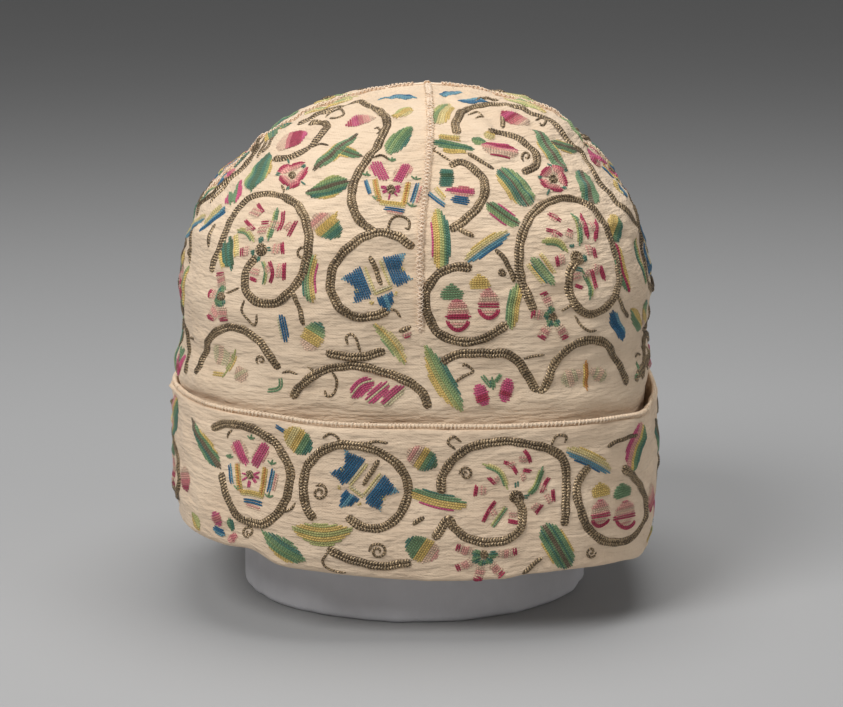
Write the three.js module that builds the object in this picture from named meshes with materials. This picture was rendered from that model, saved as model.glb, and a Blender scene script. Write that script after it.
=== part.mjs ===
// An embroidered linen cap with a turned-up cuff, on the round cloth-covered stand that holds it.
// Units are millimetres, +Z is up, the front faces -Y and +X is to the right of someone facing the front.

import * as THREE from 'three';

// Driving dimensions of the crown
const CROWN_HALF_WIDTH = 96.7;
const DEPTH_TO_WIDTH = 0.975;
const APEX_HEIGHT = 210.7;
const CLOTH = 1.7;

// The crown's top leans to the right of the stand's axis.
const LEAN = 5.5;
const LEAN_FROM = 150;
const LEAN_RUN = 55;

// The crown is round at the apex and nearly square, with round corners, lower down.
const SQUARENESS_LOW = 2.95;
const SQUARENESS_LOW_SWING = 0.25;
const SQUAREST_CORNER = 45;
const SQUARENESS_APEX = 2.3;
const SQUARENESS_FROM = 130;

// Four seams, a quarter turn apart, join the gores. They lie in shallow valleys and end above the cuff.
// A share of each seam's width is flat, and its edges thin out.
const SEAM_TURN = 1.5;
const SEAM_END_HEIGHT = 124;
const SEAM_VALLEY_DEPTH = 1.6;
const SEAM_VALLEY_WIDTH = 10;
const SEAM_VALLEY_RUN_IN = 30;
const SEAM_WIDTH = 3.2;
const SEAM_THICKNESS = 0.9;
const SEAM_GAP = 0.4;
const SEAM_FLAT = 0.6;

// The cuff is the cloth below the crown, folded outwards and up. It is fullest and slackest at shares of its height.
const RIM_HEIGHT = 28.5;
const CUFF_HEIGHT = 58;
const CUFF_HALF_WIDTH = 100.7;
const CUFF_SWELL = 0.3;
const CUFF_FULLEST = 0.3;
const CUFF_SLACKEST = 0.7;
const CUFF_INNER_LEG = 8;
const RIM_TUCK = 1.2;
const FOLD_STEPS = 6;
const FOLD_ROUNDNESS = 0.7;
const EDGING_SIZE = 2.2;
const EDGING_SIDES = 6;

// Gap between pieces that touch
const GAP = 0.3;

// The stand is a round open tube, covered in cloth, which rises inside the crown and holds it up.
const STAND_RADIUS = 72.5;
const STAND_WALL = 14;
const STAND_EDGE = 2.5;
const STAND_SHOULDER = 12;
const STAND_FOOT_INSET = 0.6;
const STAND_FOOT_INSET_HEIGHT = 1.2;
const STAND_FOOT_HEIGHT = 5;
const STAND_TAPER = 1;
const STAND_TOP_INSET = 3.8;

// Sides round each ring-shaped piece
const CLOTH_SIDES = 64;
const STAND_SIDES = 48;

// Crown profile at a seam, from the cuff's fold to the apex: half width at each height.
const CROWN_PROFILE = [
  { height: RIM_HEIGHT + CUFF_INNER_LEG + GAP, halfWidth: 94.0 },
  { height: 56, halfWidth: 94.2 },
  { height: 78, halfWidth: 95.0 },
  { height: 89, halfWidth: 96.0 },
  { height: 96, halfWidth: 97.5 },
  { height: 105, halfWidth: 96.6 },
  { height: SEAM_END_HEIGHT, halfWidth: 96.5 },
  { height: 133, halfWidth: CROWN_HALF_WIDTH },
  { height: 142, halfWidth: 95.6 },
  { height: 152, halfWidth: 93.6 },
  { height: 160, halfWidth: 90.7 },
  { height: 168, halfWidth: 85.8 },
  { height: 176, halfWidth: 79.4 },
  { height: 184, halfWidth: 71.8 },
  { height: 190.5, halfWidth: 64.6 },
  { height: 196, halfWidth: 57.2 },
  { height: 201, halfWidth: 48.0 },
  { height: 204.5, halfWidth: 37.8 },
  { height: 207.3, halfWidth: 26 },
  { height: 209.4, halfWidth: 13 },
  { height: 210.3, halfWidth: 4.5 },
  { height: APEX_HEIGHT, halfWidth: 0 },
];

// Height of the folded rim and of the cuff's top edge, by angle from the front towards the right.
const CUFF_EDGES = [
  { angle: -180, rim: 29.4, top: 85.2 },
  { angle: -135, rim: 30.9, top: 85.2 },
  { angle: -90, rim: 33.4, top: 88.2 },
  { angle: -64, rim: 35.0, top: 90.8 },
  { angle: -44, rim: 34.2, top: 89.7 },
  { angle: -36, rim: 34.6, top: 89.5 },
  { angle: -30, rim: 30.0, top: 89.0 },
  { angle: -21, rim: 28.0, top: 87.2 },
  { angle: -10, rim: 26.0, top: 86.4 },
  { angle: 4, rim: 24.4, top: 86.1 },
  { angle: 18, rim: 24.8, top: 85.8 },
  { angle: 27, rim: 26.6, top: 86.0 },
  { angle: 44, rim: 26.4, top: 85.4 },
  { angle: 56, rim: 23.9, top: 83.8 },
  { angle: 66, rim: 23.6, top: 86.4 },
  { angle: 92, rim: 26.4, top: 86.7 },
  { angle: 135, rim: 28.4, top: 85.7 },
];

// Soft dents and swells of the crown: place, half extents round and up, and how far the cloth stands out.
const SWELLS = [
  { angle: 84, height: 129, spreadAngle: 24, spreadHeight: 8, out: 2.0 },
  { angle: 74, height: 114, spreadAngle: 24, spreadHeight: 7, out: -1.2 },
  { angle: 80, height: 199, spreadAngle: 22, spreadHeight: 5, out: 3.6 },
  { angle: 85, height: 188, spreadAngle: 22, spreadHeight: 5, out: -2.6 },
  { angle: -82, height: 191, spreadAngle: 20, spreadHeight: 5, out: 2.4 },
  { angle: -84, height: 180, spreadAngle: 20, spreadHeight: 6, out: -1.2 },
  { angle: -60, height: 99, spreadAngle: 34, spreadHeight: 7, out: 1.8 },
  { angle: 52, height: 98, spreadAngle: 22, spreadHeight: 6, out: -0.8 },
  { angle: -22, height: 124, spreadAngle: 16, spreadHeight: 12, out: 1.2 },
  { angle: 30, height: 120, spreadAngle: 16, spreadHeight: 10, out: 1.2 },
  { angle: 140, height: 112, spreadAngle: 30, spreadHeight: 12, out: -1.2 },
  { angle: -140, height: 120, spreadAngle: 30, spreadHeight: 14, out: 1.2 },
];

// Rows of the profile that a seam runs over
const SEAM_ROWS = CROWN_PROFILE.filter((row) => row.height > SEAM_END_HEIGHT).length;

const RADIANS = Math.PI / 180;
const FULL_TURN = 360;
const QUARTER_TURN = 90;
const TINY = 1e-6;

function smoothStep(t) {
  const held = Math.min(1, Math.max(0, t));
  return held * held * (3 - 2 * held);
}

// Angle in degrees from the front towards the right, between -180 and 180.
function angleFromFront(x, y) {
  return Math.atan2(x, -y) / RADIANS;
}

function shortTurn(degrees) {
  return degrees - FULL_TURN * Math.round(degrees / FULL_TURN);
}

// A smooth closed curve through one column of the cuff's edge table.
function cuffEdge(column, angle) {
  const count = CUFF_EDGES.length;
  const turn = angle < CUFF_EDGES[0].angle ? angle + FULL_TURN : angle;
  let row = count - 1;
  while (CUFF_EDGES[row].angle > turn) row -= 1;
  const at = (k) => CUFF_EDGES[(row + k + count) % count][column];
  const start = CUFF_EDGES[row].angle;
  const end = row + 1 < count ? CUFF_EDGES[row + 1].angle : CUFF_EDGES[0].angle + FULL_TURN;
  const t = (turn - start) / (end - start);
  const [before, from, to, after] = [at(-1), at(0), at(1), at(2)];
  const bend = (2 * before - 5 * from + 4 * to - after) * t * t;
  const twist = (3 * from - before - 3 * to + after) * t * t * t;
  return from + 0.5 * ((to - before) * t + bend + twist);
}

// Radius of the plan outline for a half width of 1: a rounded square with its flats to the seams.
function planRadius(angle, height) {
  const low = SQUARENESS_LOW + SQUARENESS_LOW_SWING * Math.cos((angle - SQUAREST_CORNER) * RADIANS);
  const rise = smoothStep((height - SQUARENESS_FROM) / (APEX_HEIGHT - SQUARENESS_FROM));
  const power = low + (SQUARENESS_APEX - low) * rise;
  const across = Math.abs(Math.sin(angle * RADIANS));
  const along = Math.abs(Math.cos(angle * RADIANS));
  return Math.pow(Math.pow(across, power) + Math.pow(along, power), -1 / power);
}

function seamValley(radius, angle, height) {
  const past = angle - SEAM_TURN;
  const offSeam = (past - QUARTER_TURN * Math.round(past / QUARTER_TURN)) * RADIANS * radius;
  const run = smoothStep((height - SEAM_END_HEIGHT) / SEAM_VALLEY_RUN_IN);
  const nearApex = radius / (radius + SEAM_VALLEY_WIDTH);
  return SEAM_VALLEY_DEPTH * run * nearApex * Math.exp(-((offSeam / SEAM_VALLEY_WIDTH) ** 2));
}

function swell(angle, height) {
  return SWELLS.reduce((total, row) => {
    const round = shortTurn(angle - row.angle) / row.spreadAngle;
    const up = (height - row.height) / row.spreadHeight;
    return total + row.out * Math.exp(-round * round - up * up);
  }, 0);
}

// Moves a point of the round crown to where the cloth lies.
function drapeCrown(radius, angle, height) {
  const fade = 1 - smoothStep((height - CROWN_PROFILE[0].height) / CUFF_HEIGHT);
  const lifted = height + (cuffEdge('rim', angle) - RIM_HEIGHT) * fade;
  const inwards = seamValley(radius, angle, height) - swell(angle, height) * (radius / CROWN_HALF_WIDTH);
  const lean = LEAN * smoothStep((height - LEAN_FROM) / LEAN_RUN);
  return { radius: radius * planRadius(angle, height) - inwards, height: lifted, lean };
}

// Moves a point of the round cuff, whose heights run from 0 at the rim to CUFF_HEIGHT at its top edge.
function drapeCuff(radius, angle, height) {
  const rim = cuffEdge('rim', angle);
  const rise = (cuffEdge('top', angle) - rim) / CUFF_HEIGHT;
  const upTheLeg = height > CUFF_INNER_LEG ? rim + height * rise : rim + height;
  const blend = smoothStep((height - CUFF_INNER_LEG) / CUFF_INNER_LEG);
  const lifted = rim + height + (upTheLeg - rim - height) * blend;
  return { radius: radius * planRadius(angle, RIM_HEIGHT), height: lifted, lean: 0 };
}

// A closed section of cloth of one thickness, laid inside its outer face: a path of (radius, height) points.
function clothSection(outer) {
  const inner = outer.map((point, i) => {
    const before = outer[Math.max(i - 1, 0)];
    const after = outer[Math.min(i + 1, outer.length - 1)];
    const along = after.clone().sub(before).normalize();
    if (point.x === 0) return new THREE.Vector2(0, point.y - CLOTH);
    return new THREE.Vector2(point.x - along.y * CLOTH, point.y + along.x * CLOTH);
  });
  return [...outer, ...inner.reverse()];
}

// Turns a section round +Z, with an edge on each seam, and moves each point to where the draping function puts it.
function turnedCloth(section, drape) {
  const geometry = new THREE.LatheGeometry([...section, section[0]], CLOTH_SIDES, SEAM_TURN * RADIANS);
  geometry.rotateX(Math.PI / 2);
  const position = geometry.getAttribute('position');
  for (let i = 0; i < position.count; i += 1) {
    const x = position.getX(i);
    const y = position.getY(i);
    const radius = Math.hypot(x, y);
    const placed = drape(radius, angleFromFront(x, y), position.getZ(i));
    const grown = radius > TINY ? placed.radius / radius : 0;
    position.setXYZ(i, x * grown + placed.lean, y * grown * DEPTH_TO_WIDTH, placed.height);
  }
  geometry.computeVertexNormals();
  return geometry;
}

function crownGeometry() {
  const outer = CROWN_PROFILE.map((row) => new THREE.Vector2(row.halfWidth, row.height));
  return turnedCloth(clothSection(outer), drapeCrown);
}

// The cuff's outer face: a short inner leg under the crown, a round fold, and the tall outer leg.
function cuffGeometry() {
  const insideCap = CROWN_PROFILE[0].halfWidth - CLOTH;
  const fold = (CUFF_HALF_WIDTH - RIM_TUCK - insideCap) / 2;
  const outer = [new THREE.Vector2(insideCap, CUFF_INNER_LEG)];
  for (let i = 0; i <= FOLD_STEPS; i += 1) {
    const turn = Math.PI * (1 + i / FOLD_STEPS);
    const across = Math.sign(Math.cos(turn)) * Math.abs(Math.cos(turn)) ** FOLD_ROUNDNESS;
    const down = Math.abs(Math.sin(turn)) ** FOLD_ROUNDNESS;
    outer.push(new THREE.Vector2(insideCap + fold * (1 + across), fold * (1 - down)));
  }
  outer.push(new THREE.Vector2(CUFF_HALF_WIDTH + CUFF_SWELL, CUFF_HEIGHT * CUFF_FULLEST));
  outer.push(new THREE.Vector2(CUFF_HALF_WIDTH - CUFF_SWELL, CUFF_HEIGHT * CUFF_SLACKEST));
  outer.push(new THREE.Vector2(CUFF_HALF_WIDTH, CUFF_HEIGHT));
  return turnedCloth(clothSection(outer), drapeCuff);
}

// The narrow whipped edging stands on the cuff's top edge.
function edgingGeometry() {
  const middle = new THREE.Vector2(CUFF_HALF_WIDTH - CLOTH / 2, CUFF_HEIGHT + GAP + EDGING_SIZE / 2);
  const section = [];
  for (let i = 0; i < EDGING_SIDES; i += 1) {
    const turn = ((i + 0.5) * 2 * Math.PI) / EDGING_SIDES;
    const across = (EDGING_SIZE / 2) * Math.cos(turn);
    const up = ((EDGING_SIZE / 2) * Math.sin(turn)) / Math.cos(Math.PI / EDGING_SIDES);
    section.push(middle.clone().add(new THREE.Vector2(across, Math.max(-EDGING_SIZE / 2, up))));
  }
  return turnedCloth(section, drapeCuff);
}

// A point on the crown's outer face, lifted off it by a clearance, over one quarter line.
function overCrown(angle, along, clearance) {
  const rows = CROWN_PROFILE.slice(-SEAM_ROWS - 1);
  const last = SEAM_ROWS;
  const at = Math.min(along * last, last - TINY);
  const from = rows[Math.floor(at)];
  const to = rows[Math.floor(at) + 1];
  const t = at - Math.floor(at);
  const round = from.halfWidth + (to.halfWidth - from.halfWidth) * t;
  const height = from.height + (to.height - from.height) * t;
  const placed = drapeCrown(round, angle, height);
  const slope = new THREE.Vector2(to.height - from.height, from.halfWidth - to.halfWidth).normalize();
  const radius = placed.radius + slope.x * clearance;
  const x = Math.sin(angle * RADIANS) * radius + placed.lean;
  const y = -Math.cos(angle * RADIANS) * radius * DEPTH_TO_WIDTH;
  return new THREE.Vector3(x, y, placed.height + slope.y * clearance);
}

// A path over the crown from one seam's foot: to the last row below the apex, or over it to the foot behind.
class SeamPath extends THREE.Curve {
  constructor(angle, overTheTop) {
    super();
    this.angle = angle + SEAM_TURN;
    this.overTheTop = overTheTop;
  }

  getPoint(t) {
    const clearance = SEAM_GAP + SEAM_THICKNESS / 2;
    if (!this.overTheTop) return overCrown(this.angle, t * (1 - 1 / SEAM_ROWS), clearance);
    if (t === 0.5) return new THREE.Vector3(LEAN, 0, APEX_HEIGHT + clearance);
    return t < 0.5
      ? overCrown(this.angle, 2 * t, clearance)
      : overCrown(this.angle + 2 * QUARTER_TURN, 2 - 2 * t, clearance);
  }

  // Even steps of the parameter, so that the seam bends where the crown's faces do.
  getPointAt(t) {
    return this.getPoint(t);
  }
}

function seamGeometry(angle, overTheTop) {
  const shape = new THREE.Shape();
  const [w, h] = [SEAM_WIDTH / 2, SEAM_THICKNESS / 2];
  const flat = w * SEAM_FLAT;
  const outline = [[-w, 0], [-flat, -h], [flat, -h], [w, 0], [flat, h], [-flat, h]];
  shape.setFromPoints(outline.map(([x, y]) => new THREE.Vector2(x, y)));
  const steps = overTheTop ? 2 * SEAM_ROWS : SEAM_ROWS - 1;
  const extrudePath = new SeamPath(angle, overTheTop);
  return new THREE.ExtrudeGeometry(shape, { steps, extrudePath, bevelEnabled: false });
}

// Height of the crown's inner face over a circle round the stand's axis, where it is lowest.
function crownInside(radius) {
  const heights = [];
  for (let angle = SEAM_TURN; angle < FULL_TURN + SEAM_TURN; angle += FULL_TURN / CLOTH_SIDES) {
    const faces = CROWN_PROFILE.map((row) => {
      const placed = drapeCrown(row.halfWidth, shortTurn(angle), row.height);
      const x = Math.sin(angle * RADIANS) * placed.radius + placed.lean;
      const y = Math.cos(angle * RADIANS) * placed.radius * DEPTH_TO_WIDTH;
      return { radius: Math.hypot(x, y), height: placed.height };
    });
    const k = faces.findIndex((face) => face.height > SEAM_END_HEIGHT && face.radius <= radius);
    const [low, high] = [faces[k - 1], faces[k]];
    const run = new THREE.Vector2(low.radius - high.radius, high.height - low.height);
    const t = (low.radius - radius) / run.x;
    heights.push(low.height + t * run.y - (CLOTH * run.length()) / run.x);
  }
  return Math.min(...heights);
}

function standGeometry() {
  const inner = STAND_RADIUS - STAND_WALL;
  const shoulder = STAND_RADIUS - STAND_SHOULDER;
  const section = [
    [inner, 0],
    [STAND_RADIUS - STAND_EDGE, 0],
    [STAND_RADIUS - STAND_FOOT_INSET, STAND_FOOT_INSET_HEIGHT],
    [STAND_RADIUS, STAND_FOOT_HEIGHT],
    [STAND_RADIUS, RIM_HEIGHT + CUFF_HEIGHT],
    [STAND_RADIUS - STAND_TAPER, crownInside(STAND_RADIUS) - STAND_EDGE],
    [STAND_RADIUS - STAND_TOP_INSET, crownInside(STAND_RADIUS - STAND_TOP_INSET) - GAP],
    [shoulder, crownInside(shoulder) - GAP],
    [inner, crownInside(shoulder) - STAND_EDGE],
    [inner, RIM_HEIGHT + CUFF_HEIGHT],
  ].map(([x, y]) => new THREE.Vector2(x, y));
  const geometry = new THREE.LatheGeometry([...section, section[0]], STAND_SIDES);
  geometry.rotateX(Math.PI / 2);
  return geometry;
}

const linen = new THREE.MeshStandardMaterial({ color: 0xe9d2b6, roughness: 0.9, metalness: 0 });
const cuffLinen = new THREE.MeshStandardMaterial({ color: 0xe6caa8, roughness: 0.9, metalness: 0 });
const edgingThread = new THREE.MeshStandardMaterial({ color: 0xe3c9a6, roughness: 0.85, metalness: 0 });
const seamThread = new THREE.MeshStandardMaterial({ color: 0xd9bd98, roughness: 0.85, metalness: 0 });
const standCloth = new THREE.MeshStandardMaterial({ color: 0xb9bac0, roughness: 0.95, metalness: 0 });

const cap = new THREE.Group();

function addPiece(name, geometry, material) {
  const mesh = new THREE.Mesh(geometry, material);
  mesh.name = name;
  cap.add(mesh);
}

addPiece('crown', crownGeometry(), linen);
addPiece('cuff', cuffGeometry(), cuffLinen);
addPiece('cuff_edging', edgingGeometry(), edgingThread);
addPiece('seam_front_back', seamGeometry(0, true), seamThread);
addPiece('seam_left', seamGeometry(-QUARTER_TURN, false), seamThread);
addPiece('seam_right', seamGeometry(QUARTER_TURN, false), seamThread);
addPiece('display_stand', standGeometry(), standCloth);

export default cap;
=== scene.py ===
"""Looks of an embroidered linen cap with a turned-up cuff, on a round cloth-covered stand.

Tables and formulas are in millimetres and meshes in metres. +Z is up, the front faces -Y, and an
angle is counted in degrees from the front towards the right. A rise is a length up the cloth. The
needlework is charted in pixels of the photograph, and laid on the cloth that carries it.
"""
import logging
import math
from dataclasses import dataclass
from enum import Enum
from functools import cached_property
from typing import Iterable, Sequence

import bmesh
import bpy
import numpy as np
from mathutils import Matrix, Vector


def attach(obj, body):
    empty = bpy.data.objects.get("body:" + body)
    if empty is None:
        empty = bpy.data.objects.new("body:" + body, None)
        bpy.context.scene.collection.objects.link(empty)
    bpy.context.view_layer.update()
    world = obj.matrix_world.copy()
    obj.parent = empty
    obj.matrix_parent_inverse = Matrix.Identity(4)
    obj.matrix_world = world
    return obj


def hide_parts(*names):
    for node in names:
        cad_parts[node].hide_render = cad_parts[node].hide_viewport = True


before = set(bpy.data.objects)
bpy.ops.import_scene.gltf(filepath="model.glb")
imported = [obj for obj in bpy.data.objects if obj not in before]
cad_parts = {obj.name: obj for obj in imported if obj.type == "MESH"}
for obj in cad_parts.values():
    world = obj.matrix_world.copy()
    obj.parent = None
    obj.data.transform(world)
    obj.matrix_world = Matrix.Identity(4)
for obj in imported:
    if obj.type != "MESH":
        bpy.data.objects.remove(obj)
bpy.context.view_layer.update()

MM = 0.001
FULL_TURN = 360.0
QUARTER_TURN = 90.0
HALF_TURN = 180.0
BODY = "root"
WELD = 0.01 * MM
EVEN = (1.0, 1.0, 1.0)
Pixel = tuple[float, float]
Span = tuple[float, float]
Colour = tuple[float, float, float]
Array = np.ndarray
Way = dict[str, Array]
Material = bpy.types.Material
Mesh = bpy.types.Mesh
Node = bpy.types.Node
Piece = bpy.types.Object
Socket = bpy.types.NodeSocket
Tree = bpy.types.NodeTree
Value = Socket | Sequence[float] | float

log = logging.getLogger("cap")


# Curves and noise

def smooth_step(t: Array | float) -> Array:
    """Runs smoothly from 0 to 1 as t does."""
    held = np.clip(t, 0.0, 1.0)
    return held * held * (3.0 - 2.0 * held)


def from_share(least: float, t: Array) -> Array:
    """Runs from a least share to 1 as t runs from 0 to 1."""
    return least + (1.0 - least) * t


def rounded_curve(points: Sequence[Sequence[float]], per_span: int) -> Array:
    """Draws a smooth curve through points.

    Args:
        points: the points that it passes through, each with any number of coordinates.
        per_span: how many samples lie between two points.

    Returns:
        The samples, one row each, from the first point to the last.
    """
    rows = np.asarray(points, float)
    first = 2.0 * rows[:1] - rows[1:2]
    last = 2.0 * rows[-1:] - rows[-2:-1]
    padded = np.concatenate([first, rows, last])
    t = np.linspace(0.0, 1.0, per_span, endpoint=False)[None, :, None]
    a, b, c, d = (padded[k:len(rows) - 1 + k, None, :] for k in range(4))
    bend = (2.0 * a - 5.0 * b + 4.0 * c - d) * t * t
    twist = (3.0 * b - a - 3.0 * c + d) * t ** 3
    spans = b + 0.5 * ((c - a) * t + bend + twist)
    return np.concatenate([spans.reshape(-1, rows.shape[1]), rows[-1:]])


def lengths_along(points: Array) -> Array:
    """The length from the first of some points to each of them."""
    steps = np.linalg.norm(np.diff(points, axis=0), axis=1)
    return np.concatenate([[0.0], np.cumsum(steps)])


@dataclass(frozen=True)
class Puckers:
    """Small wrinkles in cloth, longer round the cap than up it."""

    seed: int
    cells_round: int
    cell_rise: float
    height: float
    cells_up: int = 97

    @cached_property
    def table(self) -> Array:
        """A random height for each cell."""
        return np.random.default_rng(self.seed).standard_normal((self.cells_up, self.cells_round))

    def at(self, angle: Array, rise: Array) -> Array:
        """How far the cloth stands out.

        Args:
            angle: degrees from the front.
            rise: millimetres up the cloth.

        Returns:
            Millimetres outwards, for each place.
        """
        across = np.asarray(angle, float) / FULL_TURN * self.cells_round
        up = np.asarray(rise, float) / self.cell_rise + self.cells_up
        column, row = np.floor(across).astype(int), np.floor(up).astype(int)
        s, t = smooth_step(across - column), smooth_step(up - row)
        near, far = column % self.cells_round, (column + 1) % self.cells_round
        low, high = row % self.cells_up, (row + 1) % self.cells_up
        lower = self.table[low, near] * (1.0 - s) + self.table[low, far] * s
        upper = self.table[high, near] * (1.0 - s) + self.table[high, far] * s
        return self.height * (lower * (1.0 - t) + upper * t)


# The cap's own shape

@dataclass(frozen=True)
class ProfileRow:
    """Half width of the crown at one height, on a seam."""

    height: float
    half_width: float


@dataclass(frozen=True)
class EdgeRow:
    """Height of the folded rim and of the cuff's top edge at one angle."""

    angle: float
    rim: float
    top: float


@dataclass(frozen=True)
class Swell:
    """A soft dent or swell of the crown, with its half extents round and up."""

    angle: float
    height: float
    spread_angle: float
    spread_height: float
    out: float


CROWN_HALF_WIDTH = 96.7
DEPTH_TO_WIDTH = 0.975
APEX_HEIGHT = 210.7
CLOTH = 1.7
LEAN = 5.5
LEAN_FROM = 150.0
LEAN_RUN = 55.0
SQUARENESS_LOW = 2.95
SQUARENESS_LOW_SWING = 0.25
SQUAREST_CORNER = 45.0
SQUARENESS_APEX = 2.3
SQUARENESS_FROM = 130.0
SEAM_TURN = 1.5
SEAM_END_HEIGHT = 124.0
SEAM_VALLEY_DEPTH = 1.6
SEAM_VALLEY_WIDTH = 10.0
SEAM_VALLEY_RUN_IN = 30.0
RIM_HEIGHT = 28.5
CUFF_HEIGHT = 58.0
CUFF_HALF_WIDTH = 100.7
CUFF_SWELL = 0.3
CUFF_FULLEST = 0.3
CUFF_SLACKEST = 0.7
CUFF_INNER_LEG = 8.0
RIM_TUCK = 1.2
FOLD_STEPS = 6
FOLD_ROUNDNESS = 0.7
CROWN_FOOT_HEIGHT = 36.8

CROWN_PROFILE = (
    ProfileRow(CROWN_FOOT_HEIGHT, 94.0),
    ProfileRow(56, 94.2),
    ProfileRow(78, 95.0),
    ProfileRow(89, 96.0),
    ProfileRow(96, 97.5),
    ProfileRow(105, 96.6),
    ProfileRow(SEAM_END_HEIGHT, 96.5),
    ProfileRow(133, CROWN_HALF_WIDTH),
    ProfileRow(142, 95.6),
    ProfileRow(152, 93.6),
    ProfileRow(160, 90.7),
    ProfileRow(168, 85.8),
    ProfileRow(176, 79.4),
    ProfileRow(184, 71.8),
    ProfileRow(190.5, 64.6),
    ProfileRow(196, 57.2),
    ProfileRow(201, 48.0),
    ProfileRow(204.5, 37.8),
    ProfileRow(207.3, 26),
    ProfileRow(209.4, 13),
    ProfileRow(210.3, 4.5),
    ProfileRow(APEX_HEIGHT, 0),
)

CUFF_EDGES = (
    EdgeRow(-180, 29.4, 85.2),
    EdgeRow(-135, 30.9, 85.2),
    EdgeRow(-90, 33.4, 88.2),
    EdgeRow(-64, 35.0, 90.8),
    EdgeRow(-44, 34.2, 89.7),
    EdgeRow(-36, 34.6, 89.5),
    EdgeRow(-30, 30.0, 89.0),
    EdgeRow(-21, 28.0, 87.2),
    EdgeRow(-10, 26.0, 86.4),
    EdgeRow(4, 24.4, 86.1),
    EdgeRow(18, 24.8, 85.8),
    EdgeRow(27, 26.6, 86.0),
    EdgeRow(44, 26.4, 85.4),
    EdgeRow(56, 23.9, 83.8),
    EdgeRow(66, 23.6, 86.4),
    EdgeRow(92, 26.4, 86.7),
    EdgeRow(135, 28.4, 85.7),
)

SWELLS = (
    Swell(84, 129, 24, 8, 2.0),
    Swell(74, 114, 24, 7, -1.2),
    Swell(80, 199, 22, 5, 3.6),
    Swell(85, 188, 22, 5, -2.6),
    Swell(-82, 191, 20, 5, 2.4),
    Swell(-84, 180, 20, 6, -1.2),
    Swell(-60, 99, 34, 7, 1.8),
    Swell(52, 98, 22, 6, -0.8),
    Swell(-22, 124, 16, 12, 1.2),
    Swell(30, 120, 16, 10, 1.2),
    Swell(140, 112, 30, 12, -1.2),
    Swell(-140, 120, 30, 14, 1.2),
)


def plan_radius(angle: Array, height: Array | float) -> Array:
    """The plan outline: a rounded square, flat towards the seams.

    Args:
        angle: degrees from the front.
        height: millimetres over the floor.

    Returns:
        The outline's radius, for a half width of 1.
    """
    low = SQUARENESS_LOW + SQUARENESS_LOW_SWING * np.cos(np.radians(angle - SQUAREST_CORNER))
    up = smooth_step((height - SQUARENESS_FROM) / (APEX_HEIGHT - SQUARENESS_FROM))
    power = low + (SQUARENESS_APEX - low) * up
    across = np.abs(np.sin(np.radians(angle)))
    along = np.abs(np.cos(np.radians(angle)))
    return (across ** power + along ** power) ** (-1.0 / power)


class CuffEdges:
    """Smooth closed curves through the cuff's edge table."""

    def __init__(self) -> None:
        """Samples both curves once round."""
        rows = [(row.angle, row.rim, row.top) for row in CUFF_EDGES]
        wrapped = [(a + turn, rim, top) for turn in (-FULL_TURN, 0.0, FULL_TURN) for a, rim, top in rows]
        self.samples = rounded_curve(wrapped, 12)

    def rim(self, angle: Array) -> Array:
        """Height of the folded rim at each angle."""
        return np.interp(self.wrap(angle), self.samples[:, 0], self.samples[:, 1])

    def top(self, angle: Array) -> Array:
        """Height of the cuff's top edge at each angle."""
        return np.interp(self.wrap(angle), self.samples[:, 0], self.samples[:, 2])

    @staticmethod
    def wrap(angle: Array) -> Array:
        """The same angles between -180 and 180 degrees."""
        return (np.asarray(angle, float) + HALF_TURN) % FULL_TURN - HALF_TURN


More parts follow.
